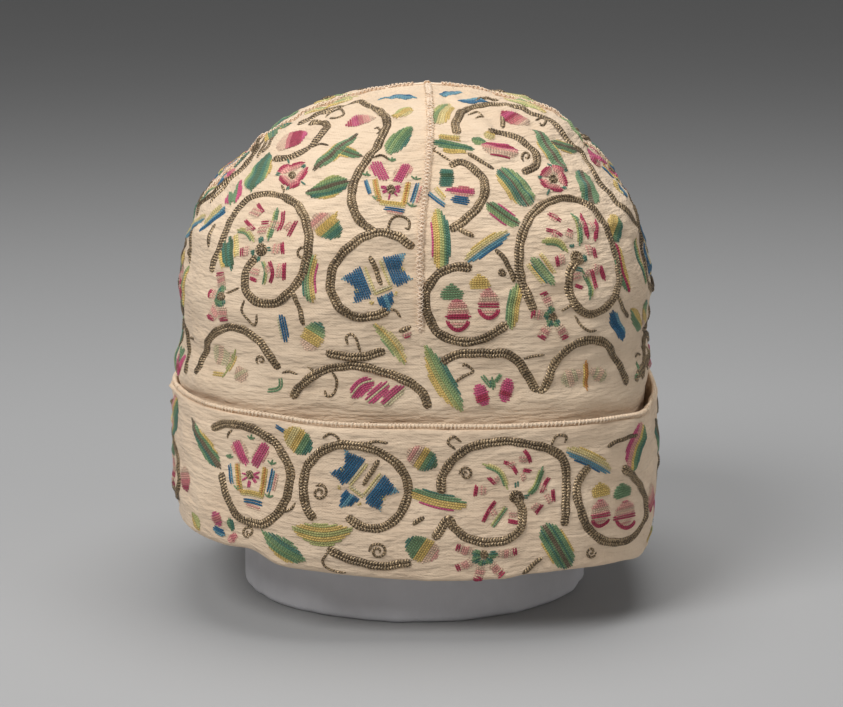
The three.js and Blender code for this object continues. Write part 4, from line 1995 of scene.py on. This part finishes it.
def cornflower(x: float, y: float, lean: float) -> tuple[Patch | Field, ...]:
    """A blue cornflower, seen from the side, with a cream throat and yellow tufts between its lobes.

    Args:
        x: the pixel column of its throat's foot.
        y: the pixel row of its throat's foot.
        lean: degrees by which it leans to the right.

    Returns:
        Its fields and patches.
    """
    turn = math.radians(lean)

    def at(across: float, up: float) -> Pixel:
        """A pixel beside and above the throat's foot, on axes that lean with the flower."""
        right = across * math.cos(turn) + up * math.sin(turn)
        return (x + right, y + across * math.sin(turn) - up * math.cos(turn))

    wing = ((12, 31), (35, 26), (25, 14), (32, -1), (15, -3), (12, 2))
    way = QUARTER_TURN - lean
    made = [
        outlined((SKY, BLUE, BLUE, BLUE), way, *(at(-across, up) for across, up in wing)),
        outlined((BLUE, BLUE, BLUE, SKY), way, *(at(across, up) for across, up in wing)),
        outlined((BLUE, SKY, BLUE), way, at(-9, -5), at(8, -4), at(6, -14), at(-3, -23), at(-8, -14)),
        bar(4.5, (CREAM, STRAW), at(-9, 0), at(-9, 28)),
        bar(4.5, (STRAW, CREAM), at(9, 1), at(9, 29)),
        bar(4.5, (CREAM, STRAW), at(-9, 0), at(10, 0)),
    ]
    for across, up in ((-27, 10), (-17, -8), (12, -9), (28, 13)):
        made.append(stitched(Form.OVAL, 4.5, (YELLOW, STRAW), at(across * 0.8, up * 0.8), at(across, up)))
    return tuple(made)


def pansy(x: float, y: float, wide: float, tall: float) -> tuple[Patch | Field, ...]:
    """A pansy: two magenta petals over a yellow one, with blue edges and green sprigs.

    Args:
        x: the pixel column of its knot.
        y: the pixel row of its knot.
        wide: how much wider than charted it is seen.
        tall: how much taller than charted it is seen.

    Returns:
        Its fields and patches.
    """
    def at(across: float, down: float) -> Pixel:
        """A pixel beside and below the knot."""
        return (x + across * wide, y + down * tall)

    petals = (((-20, -28), (-16, -34), (-9, -35), (-3, -26), (-1, -13), (-5, -9), (-11, -13)),
              ((8, -32), (14, -33), (19, -27), (18, -21), (8, -7), (1, -10), (2, -21)))
    made = [
        outlined((PINK, MAGENTA, MAGENTA, MAGENTA, PALE), 115, *(at(*spot) for spot in petals[0])),
        outlined((PALE, MAGENTA, MAGENTA, MAGENTA, PINK), 62, *(at(*spot) for spot in petals[1])),
        bar(5.5, (YELLOW, ORANGE, YELLOW), at(-14, -12), at(-10, 16)),
        bar(5.5, (YELLOW, ORANGE, YELLOW), at(11, 20), at(15, -8)),
        bar(5.5, (YELLOW, YELLOW, STRAW), at(-10, 17), at(13, 21)),
        bar(4.0, (SKY, BLUE), at(-22, -11), at(-18, 8)),
        bar(4.5, (BLUE, SKY), at(18, 17), at(23, -6)),
        bar(4.5, (BLUE, BLUE), at(-6, 25), at(12, 29)),
        bar(3.5, (PINK, PALE), at(23, 16), at(27, -2)),
        bar(3.5, (PINK, PALE), at(-4, 30), at(10, 34)),
    ]
    for across, down in ((-9, -2), (9, 3), (-8, 5), (6, 9), (-2, 13), (9, -3)):
        made.append(stitched(Form.OVAL, 3.0, (MAGENTA,), at(across * 0.35, down * 0.35), at(across, down)))
    for across, down in ((0, -36), (21, -11), (-13, 14), (18, 22), (-22, -17)):
        for turn in (-40, 15, 70):
            spread = math.radians(turn)
            end = at(across + 5.0 * math.sin(spread), down - 5.0 * math.cos(spread))
            made.append(leaf(2.6, (GREEN,), at(across, down), end))
    return tuple(made)


def small_flower(x: float, y: float, tips: Sequence[tuple[float, float]]) -> tuple[Patch, ...]:
    """Florets round a small knot: green at the knot, pale rows, and crimson tips."""
    made = []
    for across, down in tips:
        far = math.hypot(across, down)
        right, low = across / far, down / far
        half = 4.5
        end = (x + across, y + down)
        near = (x + right * far * 0.45, y + low * far * 0.45)
        made.append(leaf(8, (TEAL, GREEN), (x + right * 3, y + low * 3),
                         (x + right * far * 0.5, y + low * far * 0.5)))
        made.append(banded(Form.BAR, 9, PALE_ROWS, near, end))
        made.append(pod(half, (CRIMSON,), (end[0] + low * half, end[1] - right * half),
                        (end[0] - low * half, end[1] + right * half)))
    return tuple(made)


def acorn(x: float, y: float, way: float, silks: Silks, size: float = 30.0) -> tuple[Patch, ...]:
    """An acorn whose rows run across it, along a way in degrees from the right and upwards."""
    turn = math.radians(way)
    step = (math.cos(turn) * size / 2.0, -math.sin(turn) * size / 2.0)
    return (berry(size * 0.72, silks, (x - step[0], y - step[1]), (x + step[0], y + step[1])),)


HONEYSUCKLE_LEFT = (
    *tube((253, 216), (259, 209), 9, (258, 204), (264, 213)),
    *tube((249, 232), (250, 226), 8, (245, 220), (256, 231)),
    *tube((262, 234), (264, 226), 7, (261, 223), (269, 222)),
    *tube((271, 229), (277, 220), 9, (278, 232), (282, 222), (284, 211)),
    *tube((286, 224), (291, 228), 9, (288, 237), (297, 220)),
    *tube((272, 249), (280, 249), 9, (282, 242), (283, 255)),
    *tube((277, 270), (283, 271), 14, (285, 262), (284, 281)),
    *tube((266, 266), (270, 272), 8, (269, 260), (273, 273), (269, 285)),
    *tube((256, 268), (254, 275), 8, (250, 278), (257, 281)),
    *tube((248, 251), (243, 251), 9, (241, 246), (241, 257)),
    pod(5, (LIME, GREEN), (268, 241), (273, 225), (278, 208)),
    pod(7, (GREEN, LIME, STRAW), (254, 242), (247, 232), (236, 229)),
    pod(4, (LIME, GREEN), (262, 260), (266, 272), (263, 286)),
    sprig((261, 243), (261, 236)),
    sprig((267, 249), (271, 249)),
    sprig((258, 256), (257, 262)),
    sprig((254, 252), (250, 253)),
    pod(6, (TEAL, DARK), (227, 267), (223, 240)),
    pod(6, (TEAL, DARK), (232, 270), (229, 236)),
    bar(4.5, (STRAW, YELLOW), (223, 268), (219, 251)),
    bar(5, (YELLOW, STRAW), (236, 256), (235, 234)),
)

HONEYSUCKLE_RIGHT = (
    *tube((552, 220), (556, 213), 8, (548, 212), (562, 222)),
    *tube((552, 236), (558, 230), 7, (545, 229), (556, 232), (563, 237)),
    *tube((569, 237), (570, 231), 7, (567, 229), (573, 232)),
    *tube((577, 225), (584, 222), 9, (581, 213), (585, 226), (589, 239)),
    *tube((590, 226), (595, 226), 9, (596, 219), (596, 241)),
    *tube((587, 250), (593, 249), 10, (594, 246), (597, 259)),
    *tube((594, 268), (600, 270), 9, (600, 265), (606, 280)),
    *tube((586, 272), (590, 276), 8, (591, 268), (595, 277), (597, 290)),
    *tube((576, 272), (578, 280), 9, (576, 285), (584, 288)),
    *tube((565, 259), (560, 259), 10, (556, 255), (559, 267)),
    pod(5, (LIME, GREEN), (581, 246), (579, 226), (571, 212)),
    pod(7, (GREEN, LIME, STRAW), (569, 251), (558, 242), (542, 241)),
    pod(5, (LIME, GREEN), (583, 270), (591, 285), (590, 300)),
    sprig((573, 247), (573, 243)),
    sprig((585, 254), (586, 262)),
    sprig((576, 268), (583, 270)),
    pod(11, (TEAL, GREEN, LEAF, GREEN), (554, 285), (531, 257)),
    bar(5, (YELLOW, STRAW), (555, 273), (540, 253)),
    bar(5, (STRAW, YELLOW), (543, 283), (528, 264)),
)

HONEYSUCKLE_CHART = Chart(turns=(0.0, 180.0), stems=(
    double((298, 125), (311, 117), (327, 110), (351, 105), (367, 106), (380, 111), (387, 121), (382, 136),
           (374, 151), (361, 169), (353, 186), (352, 203), (359, 219), (374, 232)),
    double((210, 272), (213, 262), (218, 249), (226, 229), (236, 211), (249, 199), (266, 194), (283, 197),
           (296, 204), (304, 216), (308, 231), (309, 246), (306, 264), (299, 281), (288, 294), (276, 302),
           (261, 303), (249, 295), (245, 282), (248, 267), (256, 256)),
    single((215, 224), (211, 236), (208, 247)),
    single((293, 292), (299, 308), (304, 325)),
    single((262, 142), (253, 156), (240, 173), (226, 186), (210, 203)),
    double((274, 160), (293, 156), (306, 148), (317, 138), (327, 126), (319, 121), (309, 123)),
    single((263, 153), (269, 145), (274, 138)),
    fine((312, 146), (321, 144), (329, 145)),
    fine((258, 143), (250, 150), (243, 161)),
    fine((325, 116), (331, 112), (342, 112), (344, 116), (337, 119), (330, 118)),
    fine((374, 128), (378, 127), (380, 131), (376, 133)),
    curl((303, 254), 7, -60, -0.9),
    fine((245, 300), (244, 310), (253, 324), (257, 322), (258, 314)),
    fine((226, 293), (233, 291), (240, 288)),
    double((534, 311), (526, 292), (520, 273), (519, 256), (522, 235), (531, 216), (545, 203), (562, 197),
           (579, 199), (593, 209), (605, 225), (612, 242), (617, 261), (619, 280), (613, 299), (601, 311),
           (589, 314), (577, 306), (570, 290), (570, 273), (577, 261)),
    single((617, 296), (623, 308), (629, 317)),
    double((457, 134), (456, 122), (464, 111), (477, 107), (493, 106), (510, 108), (527, 112), (545, 120),
           (558, 132), (572, 146), (582, 153), (593, 172), (607, 192), (620, 209), (632, 221), (638, 233)),
    double((488, 131), (503, 132), (519, 139), (531, 149), (537, 159), (534, 168), (522, 172)),
    single((503, 127), (502, 116)),
    curl((526, 157), 5, 120, 1.1),
    curl((541, 124), 6, -160, 0.9),
    curl((261, 249), 6, 0, 2.6),
    curl((578, 257), 7, 0, 2.8),
    curl((292, 174), 4, 0, 1.8),
    curl((553, 179), 4, 0, 1.8),
    curl((222, 296), 4, 0, 2.0),
    curl((554, 317), 4, 0, 2.0),
    fine((562, 311), (569, 307), (575, 303)),
    fine((576, 316), (580, 324), (588, 331), (596, 330)),
    fine((282, 192), (283, 188), (281, 184)),
    single((474, 103), (484, 100), (498, 101)),
), patches=(
    *HONEYSUCKLE_LEFT,
    *HONEYSUCKLE_RIGHT,
    berry(17, (PALE, PALE, ROSE, CRIMSON, CRIMSON, MAGENTA), (276, 146), (307, 133)),
    berry(10, (CRIMSON, MAGENTA, ROSE, PINK, PALE), (345, 125), (376, 117)),
    leaf(11, LEAF_GREEN, (312, 172), (336, 152), (360, 132)),
    leaf(9, LEAF_GREEN, (334, 149), (364, 157)),
    *rose(292, 174, 13.5),
    leaf(21, (YELLOW, GREEN, TEAL, GREEN, VEIN, GREEN, LEAF, LIME), (351, 182), (304, 194)),
    leaf(16, (LIME, GREEN, TEAL, DARK, TEAL, GREEN, YELLOW), (251, 192), (270, 153)),
    bar(4.5, (SKY, BLUE), (201, 230), (225, 209)),
    bar(4, (STRAW,), (203, 222), (222, 206)),
    leaf(6, (MAGENTA, GREEN), (231, 205), (229, 191)),
    leaf(6, (GREEN, MAGENTA), (235, 204), (242, 180)),
    *acorn(327, 226, -40, (PALE, PINK, PALE, YELLOW, YELLOW, GREEN, TEAL, DARK), 34),
    leaf(5, (YELLOW,), (330, 222), (337, 212)),
    *small_flower(222, 296, ((-2, -22), (-11, -3), (-9, 21), (3, 23))),
    pod(9, (CREAM, BLUE, BLUE), (286, 342), (281, 314)),
    leaf(7, (BLUE, SKY), (377, 101), (397, 97), (417, 99)),
    leaf(7, (LIME, STRAW), (326, 105), (343, 99), (359, 96)),
    pod(7, (TEAL, GREEN), (276, 128), (291, 125)),
    leaf(10, (LEAF, STRAW, LIME), (503, 100), (527, 106), (545, 114)),
    leaf(7, (BLUE, SKY), (439, 96), (452, 94), (463, 94)),
    leaf(8, (SKY, BLUE), (458, 101), (475, 102), (488, 104)),
    berry(14, (CRIMSON, MAGENTA, CRIMSON, ROSE, PINK, PALE), (501, 112), (528, 125)),
    pod(15, (MAGENTA, CRIMSON, MAGENTA, PINK, PALE, PALE, CRIMSON), (482, 146), (518, 153)),
    pod(6, (YELLOW, STRAW), (484, 133), (495, 137)),
    leaf(8, (GREEN, LEAF), (471, 138), (487, 142)),
    pod(22, (GREEN, LEAF, TEAL, GREEN, VEIN, TEAL, GREEN, YELLOW), (500, 167), (530, 205)),
    pod(15, (MAGENTA, GREEN, VEIN, GREEN, LEAF, MAGENTA), (487, 203), (519, 225)),
    *rose(553, 179, 13.5),
    leaf(12, LEAF_GREEN, (567, 173), (549, 150), (532, 127)),
    leaf(9, LEAF_GREEN, (548, 143), (578, 151)),
    pod(15, (GREEN, TEAL, VEIN, GREEN, GREEN), (592, 204), (581, 170)),
    berry(12, (MAGENTA, CRIMSON, PINK), (590, 155), (601, 166)),
    berry(11, (YELLOW, STRAW, BLUE, SKY), (613, 184), (624, 196)),
    *acorn(615, 228, -45, (YELLOW, YELLOW, GREEN, TEAL), 22),
    pod(10, (GREEN, CRIMSON, YELLOW), (629, 292), (621, 267), (616, 243)),
    *small_flower(554, 317, ((-9, -23), (-21, -3), (-12, 20), (11, 20))),
    pod(10, (BLUE, BLUE, SKY), (623, 339), (612, 312)),
    leaf(9, (GREEN, YELLOW), (640, 330), (630, 308)),
))

CORNFLOWER_CHART = Chart(turns=(0.0, 85.0, 180.0, 265.0), stems=(
    double((414, 247), (399, 237), (382, 233), (364, 237), (347, 249), (336, 262), (331, 277), (332, 294),
           (342, 309), (359, 317), (376, 315), (389, 310)),
    fine((389, 310), (396, 311), (401, 318)),
    fine((387, 231), (392, 219), (400, 216), (409, 221), (409, 229), (405, 227)),
    single((381, 285), (376, 270), (370, 256)),
    single((399, 332), (411, 327)),
    fine((373, 159), (382, 157), (391, 161)),
    curl((391, 189), 4, 0, 2.0),
    double((326, 352), (340, 355), (357, 357), (372, 355), (385, 351)),
    fine((360, 352), (357, 340), (351, 334), (346, 337), (348, 344)),
    double((290, 398), (302, 384), (319, 373), (338, 367), (363, 367), (386, 373), (405, 380), (420, 390),
           (429, 407)),
    fine((332, 372), (337, 382), (333, 394), (326, 396), (324, 390)),
    fine((307, 367), (312, 370), (317, 374)),
    fine((282, 373), (290, 372), (298, 374)),
), patches=(
    *cornflower(383, 290, -22),
    *pansy(391, 189, 1.15, 0.76),
    leaf(16, (LEAF, GREEN, LEAF, GREEN, GREEN, TEAL), (389, 157), (399, 140), (413, 128)),
    pod(8, (LIME, YELLOW, STRAW), (394, 120), (406, 112), (413, 110)),
    pod(14, (TEAL, GREEN, LEAF, YELLOW, YELLOW, MAGENTA), (312, 303), (309, 279), (315, 255)),
    *acorn(313, 336, 60, (PALE, PALE, YELLOW, YELLOW, LEAF, GREEN, TEAL), 32),
    leaf(14, (LEAF, LIME, YELLOW, STRAW), (407, 366), (392, 343), (371, 321)),
    pod(15, (MAGENTA, CREAM, MAGENTA, MAGENTA), (352, 398), (362, 386), (374, 383)),
    pod(12, (MAGENTA, CREAM, MAGENTA), (366, 402), (378, 392), (389, 383)),
    pod(12, (MAGENTA, MAGENTA, CREAM), (382, 404), (392, 396), (404, 386)),
    leaf(5, (GREEN,), (280, 374), (279, 388), (262, 391)),
))

STRAWBERRY_CHART = Chart(turns=(0.0, -85.0, 95.0, 180.0), stems=(
    double((472, 268), (457, 267), (440, 273), (428, 287), (425, 302), (429, 317), (436, 331), (450, 339),
           (465, 342), (482, 339), (496, 332), (507, 324)),
    double((450, 166), (460, 161), (472, 168), (483, 180), (484, 194), (477, 208), (464, 220), (450, 230)),
    single((457, 228), (466, 232), (474, 236)),
    single((496, 249), (507, 263), (515, 282)),
    curl((502, 272), 4, 0, 1.4),
    single((467, 153), (480, 160), (494, 168)),
    fine((450, 160), (441, 155), (433, 151), (436, 147)),
    fine((475, 119), (483, 116), (477, 112), (468, 116)),
    double((441, 364), (455, 356), (473, 353), (490, 353), (507, 354), (519, 363), (528, 376), (538, 392)),
    fine((524, 359), (534, 357), (545, 355)),
    fine((454, 382), (467, 375), (473, 371), (465, 364), (463, 367)),
), patches=(
    *strawberry((452, 291), (458, 314), GREEN),
    *strawberry((480, 281), (489, 303), YELLOW, 24),
    pod(13, (GREEN, LEAF, LIME, YELLOW), (511, 329), (513, 306), (518, 284)),
    leaf(22, (YELLOW, YELLOW, LIME, LEAF, GREEN, TEAL), (463, 412), (441, 378), (424, 343)),
    banded(Form.POD, 14, (MAGENTA, CRIMSON, MAGENTA, MAGENTA), (485, 405), (478, 384)),
    banded(Form.POD, 14, (MAGENTA, CRIMSON, MAGENTA, MAGENTA), (503, 402), (510, 379)),
    leaf(5, (GREEN,), (492, 388), (480, 373)),
    leaf(6, (TEAL, GREEN), (493, 390), (492, 377)),
    leaf(4, (GREEN,), (494, 384), (503, 372)),
    pod(8, (GREEN, TEAL, GREEN), (433, 143), (453, 145), (474, 148)),
    bar(5, (STRAW, YELLOW), (439, 137), (460, 138)),
    bar(4, (YELLOW,), (443, 150), (466, 152)),
    pod(14, (LIME, LEAF, STRAW, YELLOW), (437, 124), (441, 113), (449, 103)),
    banded(Form.BAR, 14, (TEAL, TEAL, DARK, TEAL), (446, 187), (447, 169)),
    stitched(Form.PETAL, 11, (ROSE, MAGENTA, PINK), (446, 190), (475, 193)),
    pod(8, (BLUE, BLUE), (451, 199), (470, 202)),
    bar(5, (YELLOW, STRAW), (436, 188), (445, 199)),
    bar(4.5, (SKY, BLUE), (428, 192), (445, 206)),
    pod(19, (MAGENTA, YELLOW, YELLOW, LIME, GREEN, TEAL), (441, 271), (441, 238), (437, 208)),
    pod(15, (YELLOW, STRAW, CREAM, SKY, BLUE), (466, 261), (487, 245), (508, 232)),
    *small_flower(405, 330, ((2, 6),)),
))

ARCH_CHART = Chart(turns=(0.0, 180.0), stems=(
    double((198, 374), (204, 357), (212, 338), (223, 329), (236, 328), (252, 335), (265, 348), (275, 363),
           (279, 369)),
    double((538, 392), (545, 388), (553, 369), (563, 355), (576, 344), (591, 340), (605, 343), (614, 355),
           (622, 373), (627, 384)),
    double((635, 382), (637, 371), (647, 350)),
    curl((261, 360), 5, 120, 1.2),
), patches=(
    petal(17, (PALE, CREAM, PALE, CREAM), (233, 362), (214, 350)),
    petal(14, (PALE, CREAM, PALE), (238, 366), (244, 381)),
    leaf(6, (YELLOW, LIME), (236, 349), (232, 362), (224, 377)),
    leaf(5, (YELLOW,), (226, 375), (211, 373)),
    petal(16, (PALE, CREAM, PALE, CREAM), (583, 372), (562, 382)),
    petal(15, (PALE, CREAM, PALE, CREAM), (590, 370), (606, 378)),
    pod(5, (YELLOW, ORANGE), (587, 391), (586, 374), (586, 360)),
))

CUFF_CHART = Chart(turns=(0.0, 120.0, 240.0), stems=(
    double((213, 428), (225, 424), (240, 425), (256, 430), (271, 440), (282, 453), (290, 468), (290, 487),
           (284, 505), (273, 518), (259, 523), (242, 518), (231, 505), (225, 487), (222, 472)),
    double((315, 519), (307, 507), (304, 487), (307, 468), (319, 453), (336, 445), (355, 445), (374, 449),
           (391, 459), (403, 472), (408, 489), (404, 507), (393, 522), (378, 529), (361, 526), (347, 516)),
    double((441, 495), (442, 478), (450, 463), (463, 451), (482, 444), (507, 442), (530, 445), (549, 449),
           (563, 459), (567, 476), (566, 501), (565, 526)),
    double((434, 539), (448, 520), (454, 528), (465, 537), (482, 542), (503, 541), (517, 533), (523, 520),
           (522, 508), (517, 499)),
    double((591, 466), (582, 476), (577, 491), (580, 508), (586, 524), (595, 535), (608, 542), (626, 541),
           (639, 531), (645, 514), (644, 495), (635, 478), (622, 468)),
    double((328, 547), (344, 556), (363, 562), (384, 566), (411, 562)),
    single((608, 447), (620, 440), (637, 434)),
    fine((323, 438), (330, 433), (337, 436), (340, 443)),
    fine((363, 443), (376, 441), (388, 442)),
    curl((320, 492), 8, -120, 1.5),
    curl((378, 551), 9, 180, 1.6),
    fine((328, 551), (323, 560), (330, 569), (346, 572)),
    fine((455, 449), (448, 442), (454, 436), (461, 442)),
    fine((551, 447), (557, 436), (566, 436), (565, 443)),
    curl((466, 474), 7, 180, 1.4),
    curl((592, 553), 6, 0, 1.4),
    curl((250, 531), 6, 90, 1.4),
    single((523, 574), (532, 566), (542, 558)),
    single((413, 525), (418, 521), (424, 517)),
    fine((284, 512), (292, 508), (296, 502)),
    fine((233, 430), (229, 433), (228, 438)),
    curl((517, 497), 7, 0, 2.8),
    curl((250, 474), 4, 0, 2.0),
    single((363, 485), (371, 472), (379, 460)),
    curl((484, 554), 4, 0, 2.0),
), patches=(
    *pansy(251, 475, 1.0, 1.0),
    *cornflower(356, 491, 38.6),
    leaf(13, (GREEN, TEAL, VEIN, GREEN, YELLOW), (221, 469), (205, 444), (193, 418)),
    berry(14, (CRIMSON, ROSE, PINK, PALE), (186, 492), (184, 466)),
    leaf(9, (YELLOW, LIME), (201, 530), (192, 512)),
    berry(10, (MAGENTA, ROSE, MAGENTA), (221, 526), (215, 511)),
    pod(6, (BLUE, SKY), (214, 528), (226, 534)),
    pod(6, (TEAL, GREEN), (231, 517), (233, 530)),
    banded(Form.POD, 8, (PINK, ROSE), (229, 541), (238, 534)),
    leaf(20, (YELLOW, GREEN, LEAF, GREEN, TEAL, GREEN), (307, 560), (284, 548), (262, 528)),
    *acorn(298, 440, -35, (YELLOW, STRAW, YELLOW, GREEN, TEAL), 34),
    bar(4, (BLUE,), (276, 426), (285, 432)),
    leaf(22, (LIME, YELLOW, LIME, YELLOW, LIME), (291, 526), (322, 534), (355, 528)),
    *acorn(422, 458, -30, (PALE, PINK, PALE, YELLOW, YELLOW, GREEN, TEAL, DARK), 34),
    pod(16, (TEAL, GREEN, YELLOW, YELLOW, MAGENTA), (409, 492), (438, 501), (466, 505)),
    *acorn(422, 549, -30, (TEAL, GREEN, GREEN, YELLOW, YELLOW, PALE, PINK), 36),
    *tube((512, 468), (511, 462), 8, (503, 462), (512, 466), (518, 475)),
    *tube((523, 463), (524, 456), 8, (524, 450), (529, 457), (531, 464)),
    *tube((521, 478), (526, 476), 7, (523, 470), (532, 472)),
    *tube((540, 489), (544, 485), 9, (551, 477), (545, 485), (541, 494)),
    *tube((546, 500), (551, 497), 9, (553, 489), (554, 502)),
    *tube((534, 505), (538, 509), 9, (543, 504), (536, 515)),
    *tube((514, 513), (513, 518), 8, (507, 521), (519, 523)),
    *tube((496, 510), (490, 514), 8, (497, 500), (489, 511), (482, 524)),
    *tube((487, 491), (480, 491), 8, (477, 485), (475, 497)),
    *tube((498, 482), (494, 479), 7, (496, 485), (488, 477)),
    pod(6, (LIME, GREEN), (527, 496), (537, 485), (543, 467)),
    pod(5, (GREEN, LIME), (508, 506), (500, 517), (491, 528)),
    pod(6, (GREEN, LIME, STRAW), (508, 490), (500, 472), (483, 464)),
    sprig((517, 488), (517, 482)),
    sprig((524, 497), (529, 497)),
    pod(16, (YELLOW, STRAW, CREAM, SKY, BLUE), (567, 450), (590, 459), (611, 471)),
    pod(15, (MAGENTA, PINK, YELLOW, GREEN, TEAL), (630, 470), (636, 447), (643, 424)),
    *strawberry((602, 489), (601, 513), YELLOW, 22),
    *strawberry((624, 490), (626, 514), GREEN, 22),
    pod(26, (YELLOW, GREEN, TEAL, GREEN, VEIN, GREEN, TEAL, GREEN, YELLOW), (544, 525), (570, 568)),
    *small_flower(484, 556, ((-26, -8), (31, -4), (-26, 12), (-6, 23), (17, 18))),
))


@dataclass
class Needlework:
    """All the embroidery: metal stems and silk motifs, copied round the cap from the chart."""

    crown: CrownSurface
    cuff: CuffSurface
    view: PhotoView

    def build(self, metal: Material, silk: Material) -> None:
        """Makes the stems and the silk of the crown's front, its back, and the cuff.

        Args:
            metal: the finish of the stems.
            silk: the finish of the silk.
        """
        stems, silks = MetalStems(self.view), SilkWork(self.view)
        charts = (HONEYSUCKLE_CHART, CORNFLOWER_CHART, STRAWBERRY_CHART, ARCH_CHART)
        for side, near in (("front", True), ("back", False)):
            turned = [(chart, [turn for turn in chart.turns if (abs(turn) < QUARTER_TURN) is near])
                      for chart in charts]
            rows = [(stem, turns) for chart, turns in turned for stem in chart.stems]
            stems.build(f"crown_stems_{side}", self.crown, rows, metal)
            rows = [(patch, turns) for chart, turns in turned for patch in chart.patches]
            silks.build(f"crown_silk_{side}", self.crown, rows, silk)
        rows = [(stem, CUFF_CHART.turns) for stem in CUFF_CHART.stems]
        stems.build("cuff_stems", self.cuff, rows, metal)
        rows = [(patch, CUFF_CHART.turns) for patch in CUFF_CHART.patches]
        silks.build("cuff_silk", self.cuff, rows, silk)


# The studio

@dataclass(frozen=True)
class SoftBox:
    """One large soft light."""

    name: str
    place: tuple[float, float, float]
    size: float
    power: float
    colour: Colour = (1.0, 1.0, 1.0)

    def build(self, target: Vector) -> None:
        """Adds the light, facing a target."""
        data = bpy.data.lights.new(self.name, "AREA")
        data.shape = "DISK"
        data.size = self.size
        data.energy = self.power
        data.color = self.colour
        light = linked(self.name, data)
        light.location = self.place
        light.rotation_euler = (target - Vector(self.place)).to_track_quat("-Z", "Y").to_euler()


@dataclass
class Studio:
    """A pale floor under soft light."""

    floor_colour: Colour = (0.41, 0.41, 0.411)
    floor_half: float = 30.0
    world_light: float = 0.16
    lights: tuple[SoftBox, ...] = (
        SoftBox("light_front_left", (-0.85, -1.05, 1.35), 0.9, 21.0),
        SoftBox("light_above", (0.05, 0.15, 1.5), 1.1, 12.0),
        SoftBox("light_right", (1.3, -0.7, 0.8), 1.0, 3.2),
    )

    def build(self, effects: SharedEffects) -> None:
        """Adds the floor, the lights and a dim even surround.

        Args:
            effects: the node groups that finishes share.
        """
        bm = bmesh.new()
        bmesh.ops.create_grid(bm, x_segments=1, y_segments=1, size=self.floor_half)
        mesh = bpy.data.meshes.new("floor")
        bm.to_mesh(mesh)
        bm.free()
        mesh.materials.append(FloorFinish("floor_paper", self.floor_colour).material(effects))
        floor = linked("floor", mesh)
        for light in self.lights:
            light.build(Vector((0.0, 0.0, 0.1)))
        world = bpy.data.worlds.new("studio")
        world.use_nodes = True
        world.node_tree.nodes["Background"].inputs[0].default_value = (1.0, 1.0, 1.0, 1.0)
        world.node_tree.nodes["Background"].inputs[1].default_value = self.world_light
        bpy.context.scene.world = world
        bpy.context.scene.view_settings.view_transform = "Standard"


def main() -> None:
    """Builds the studio, then the cap from its cloth outwards."""
    logging.basicConfig(level=logging.INFO, format="%(name)s %(message)s")
    view = PhotoView()
    view.place_camera()
    effects = SharedEffects()
    Studio().build(effects)
    edges = CuffEdges()
    crown, cuff = CrownSurface(edges), CuffSurface(edges)
    crown_linen = LinenFinish("crown_linen", (0.84, 0.66, 0.48), (0.74, 0.56, 0.39))
    cuff_linen = LinenFinish("cuff_linen", (0.88, 0.69, 0.50), (0.76, 0.57, 0.40))
    LinenCloth(crown, cuff).build(crown_linen.material(effects), cuff_linen.material(effects))
    edging = ThreadFinish("edging_thread", (0.86, 0.68, 0.50))
    CuffEdging(cuff).build(edging.material(effects))
    seam = ThreadFinish("seam_thread", (0.88, 0.70, 0.53))
    CrownSeams(crown).build(seam.material(effects))
    cloth = StandClothFinish("stand_cloth", (0.72, 0.71, 0.73))
    DisplayStand(crown).build(cloth.material(effects))
    # Tarnish, then the bright gilt of the wear patches and of the painted glints.
    metal = MetalThreadFinish("metal_thread", (0.15, 0.1, 0.054), (0.68, 0.5, 0.3))
    silk = SilkFinish("silk_thread")
    Needlework(crown, cuff, view).build(metal.material(effects), silk.material(effects))


if __name__ == "__main__":
    main()
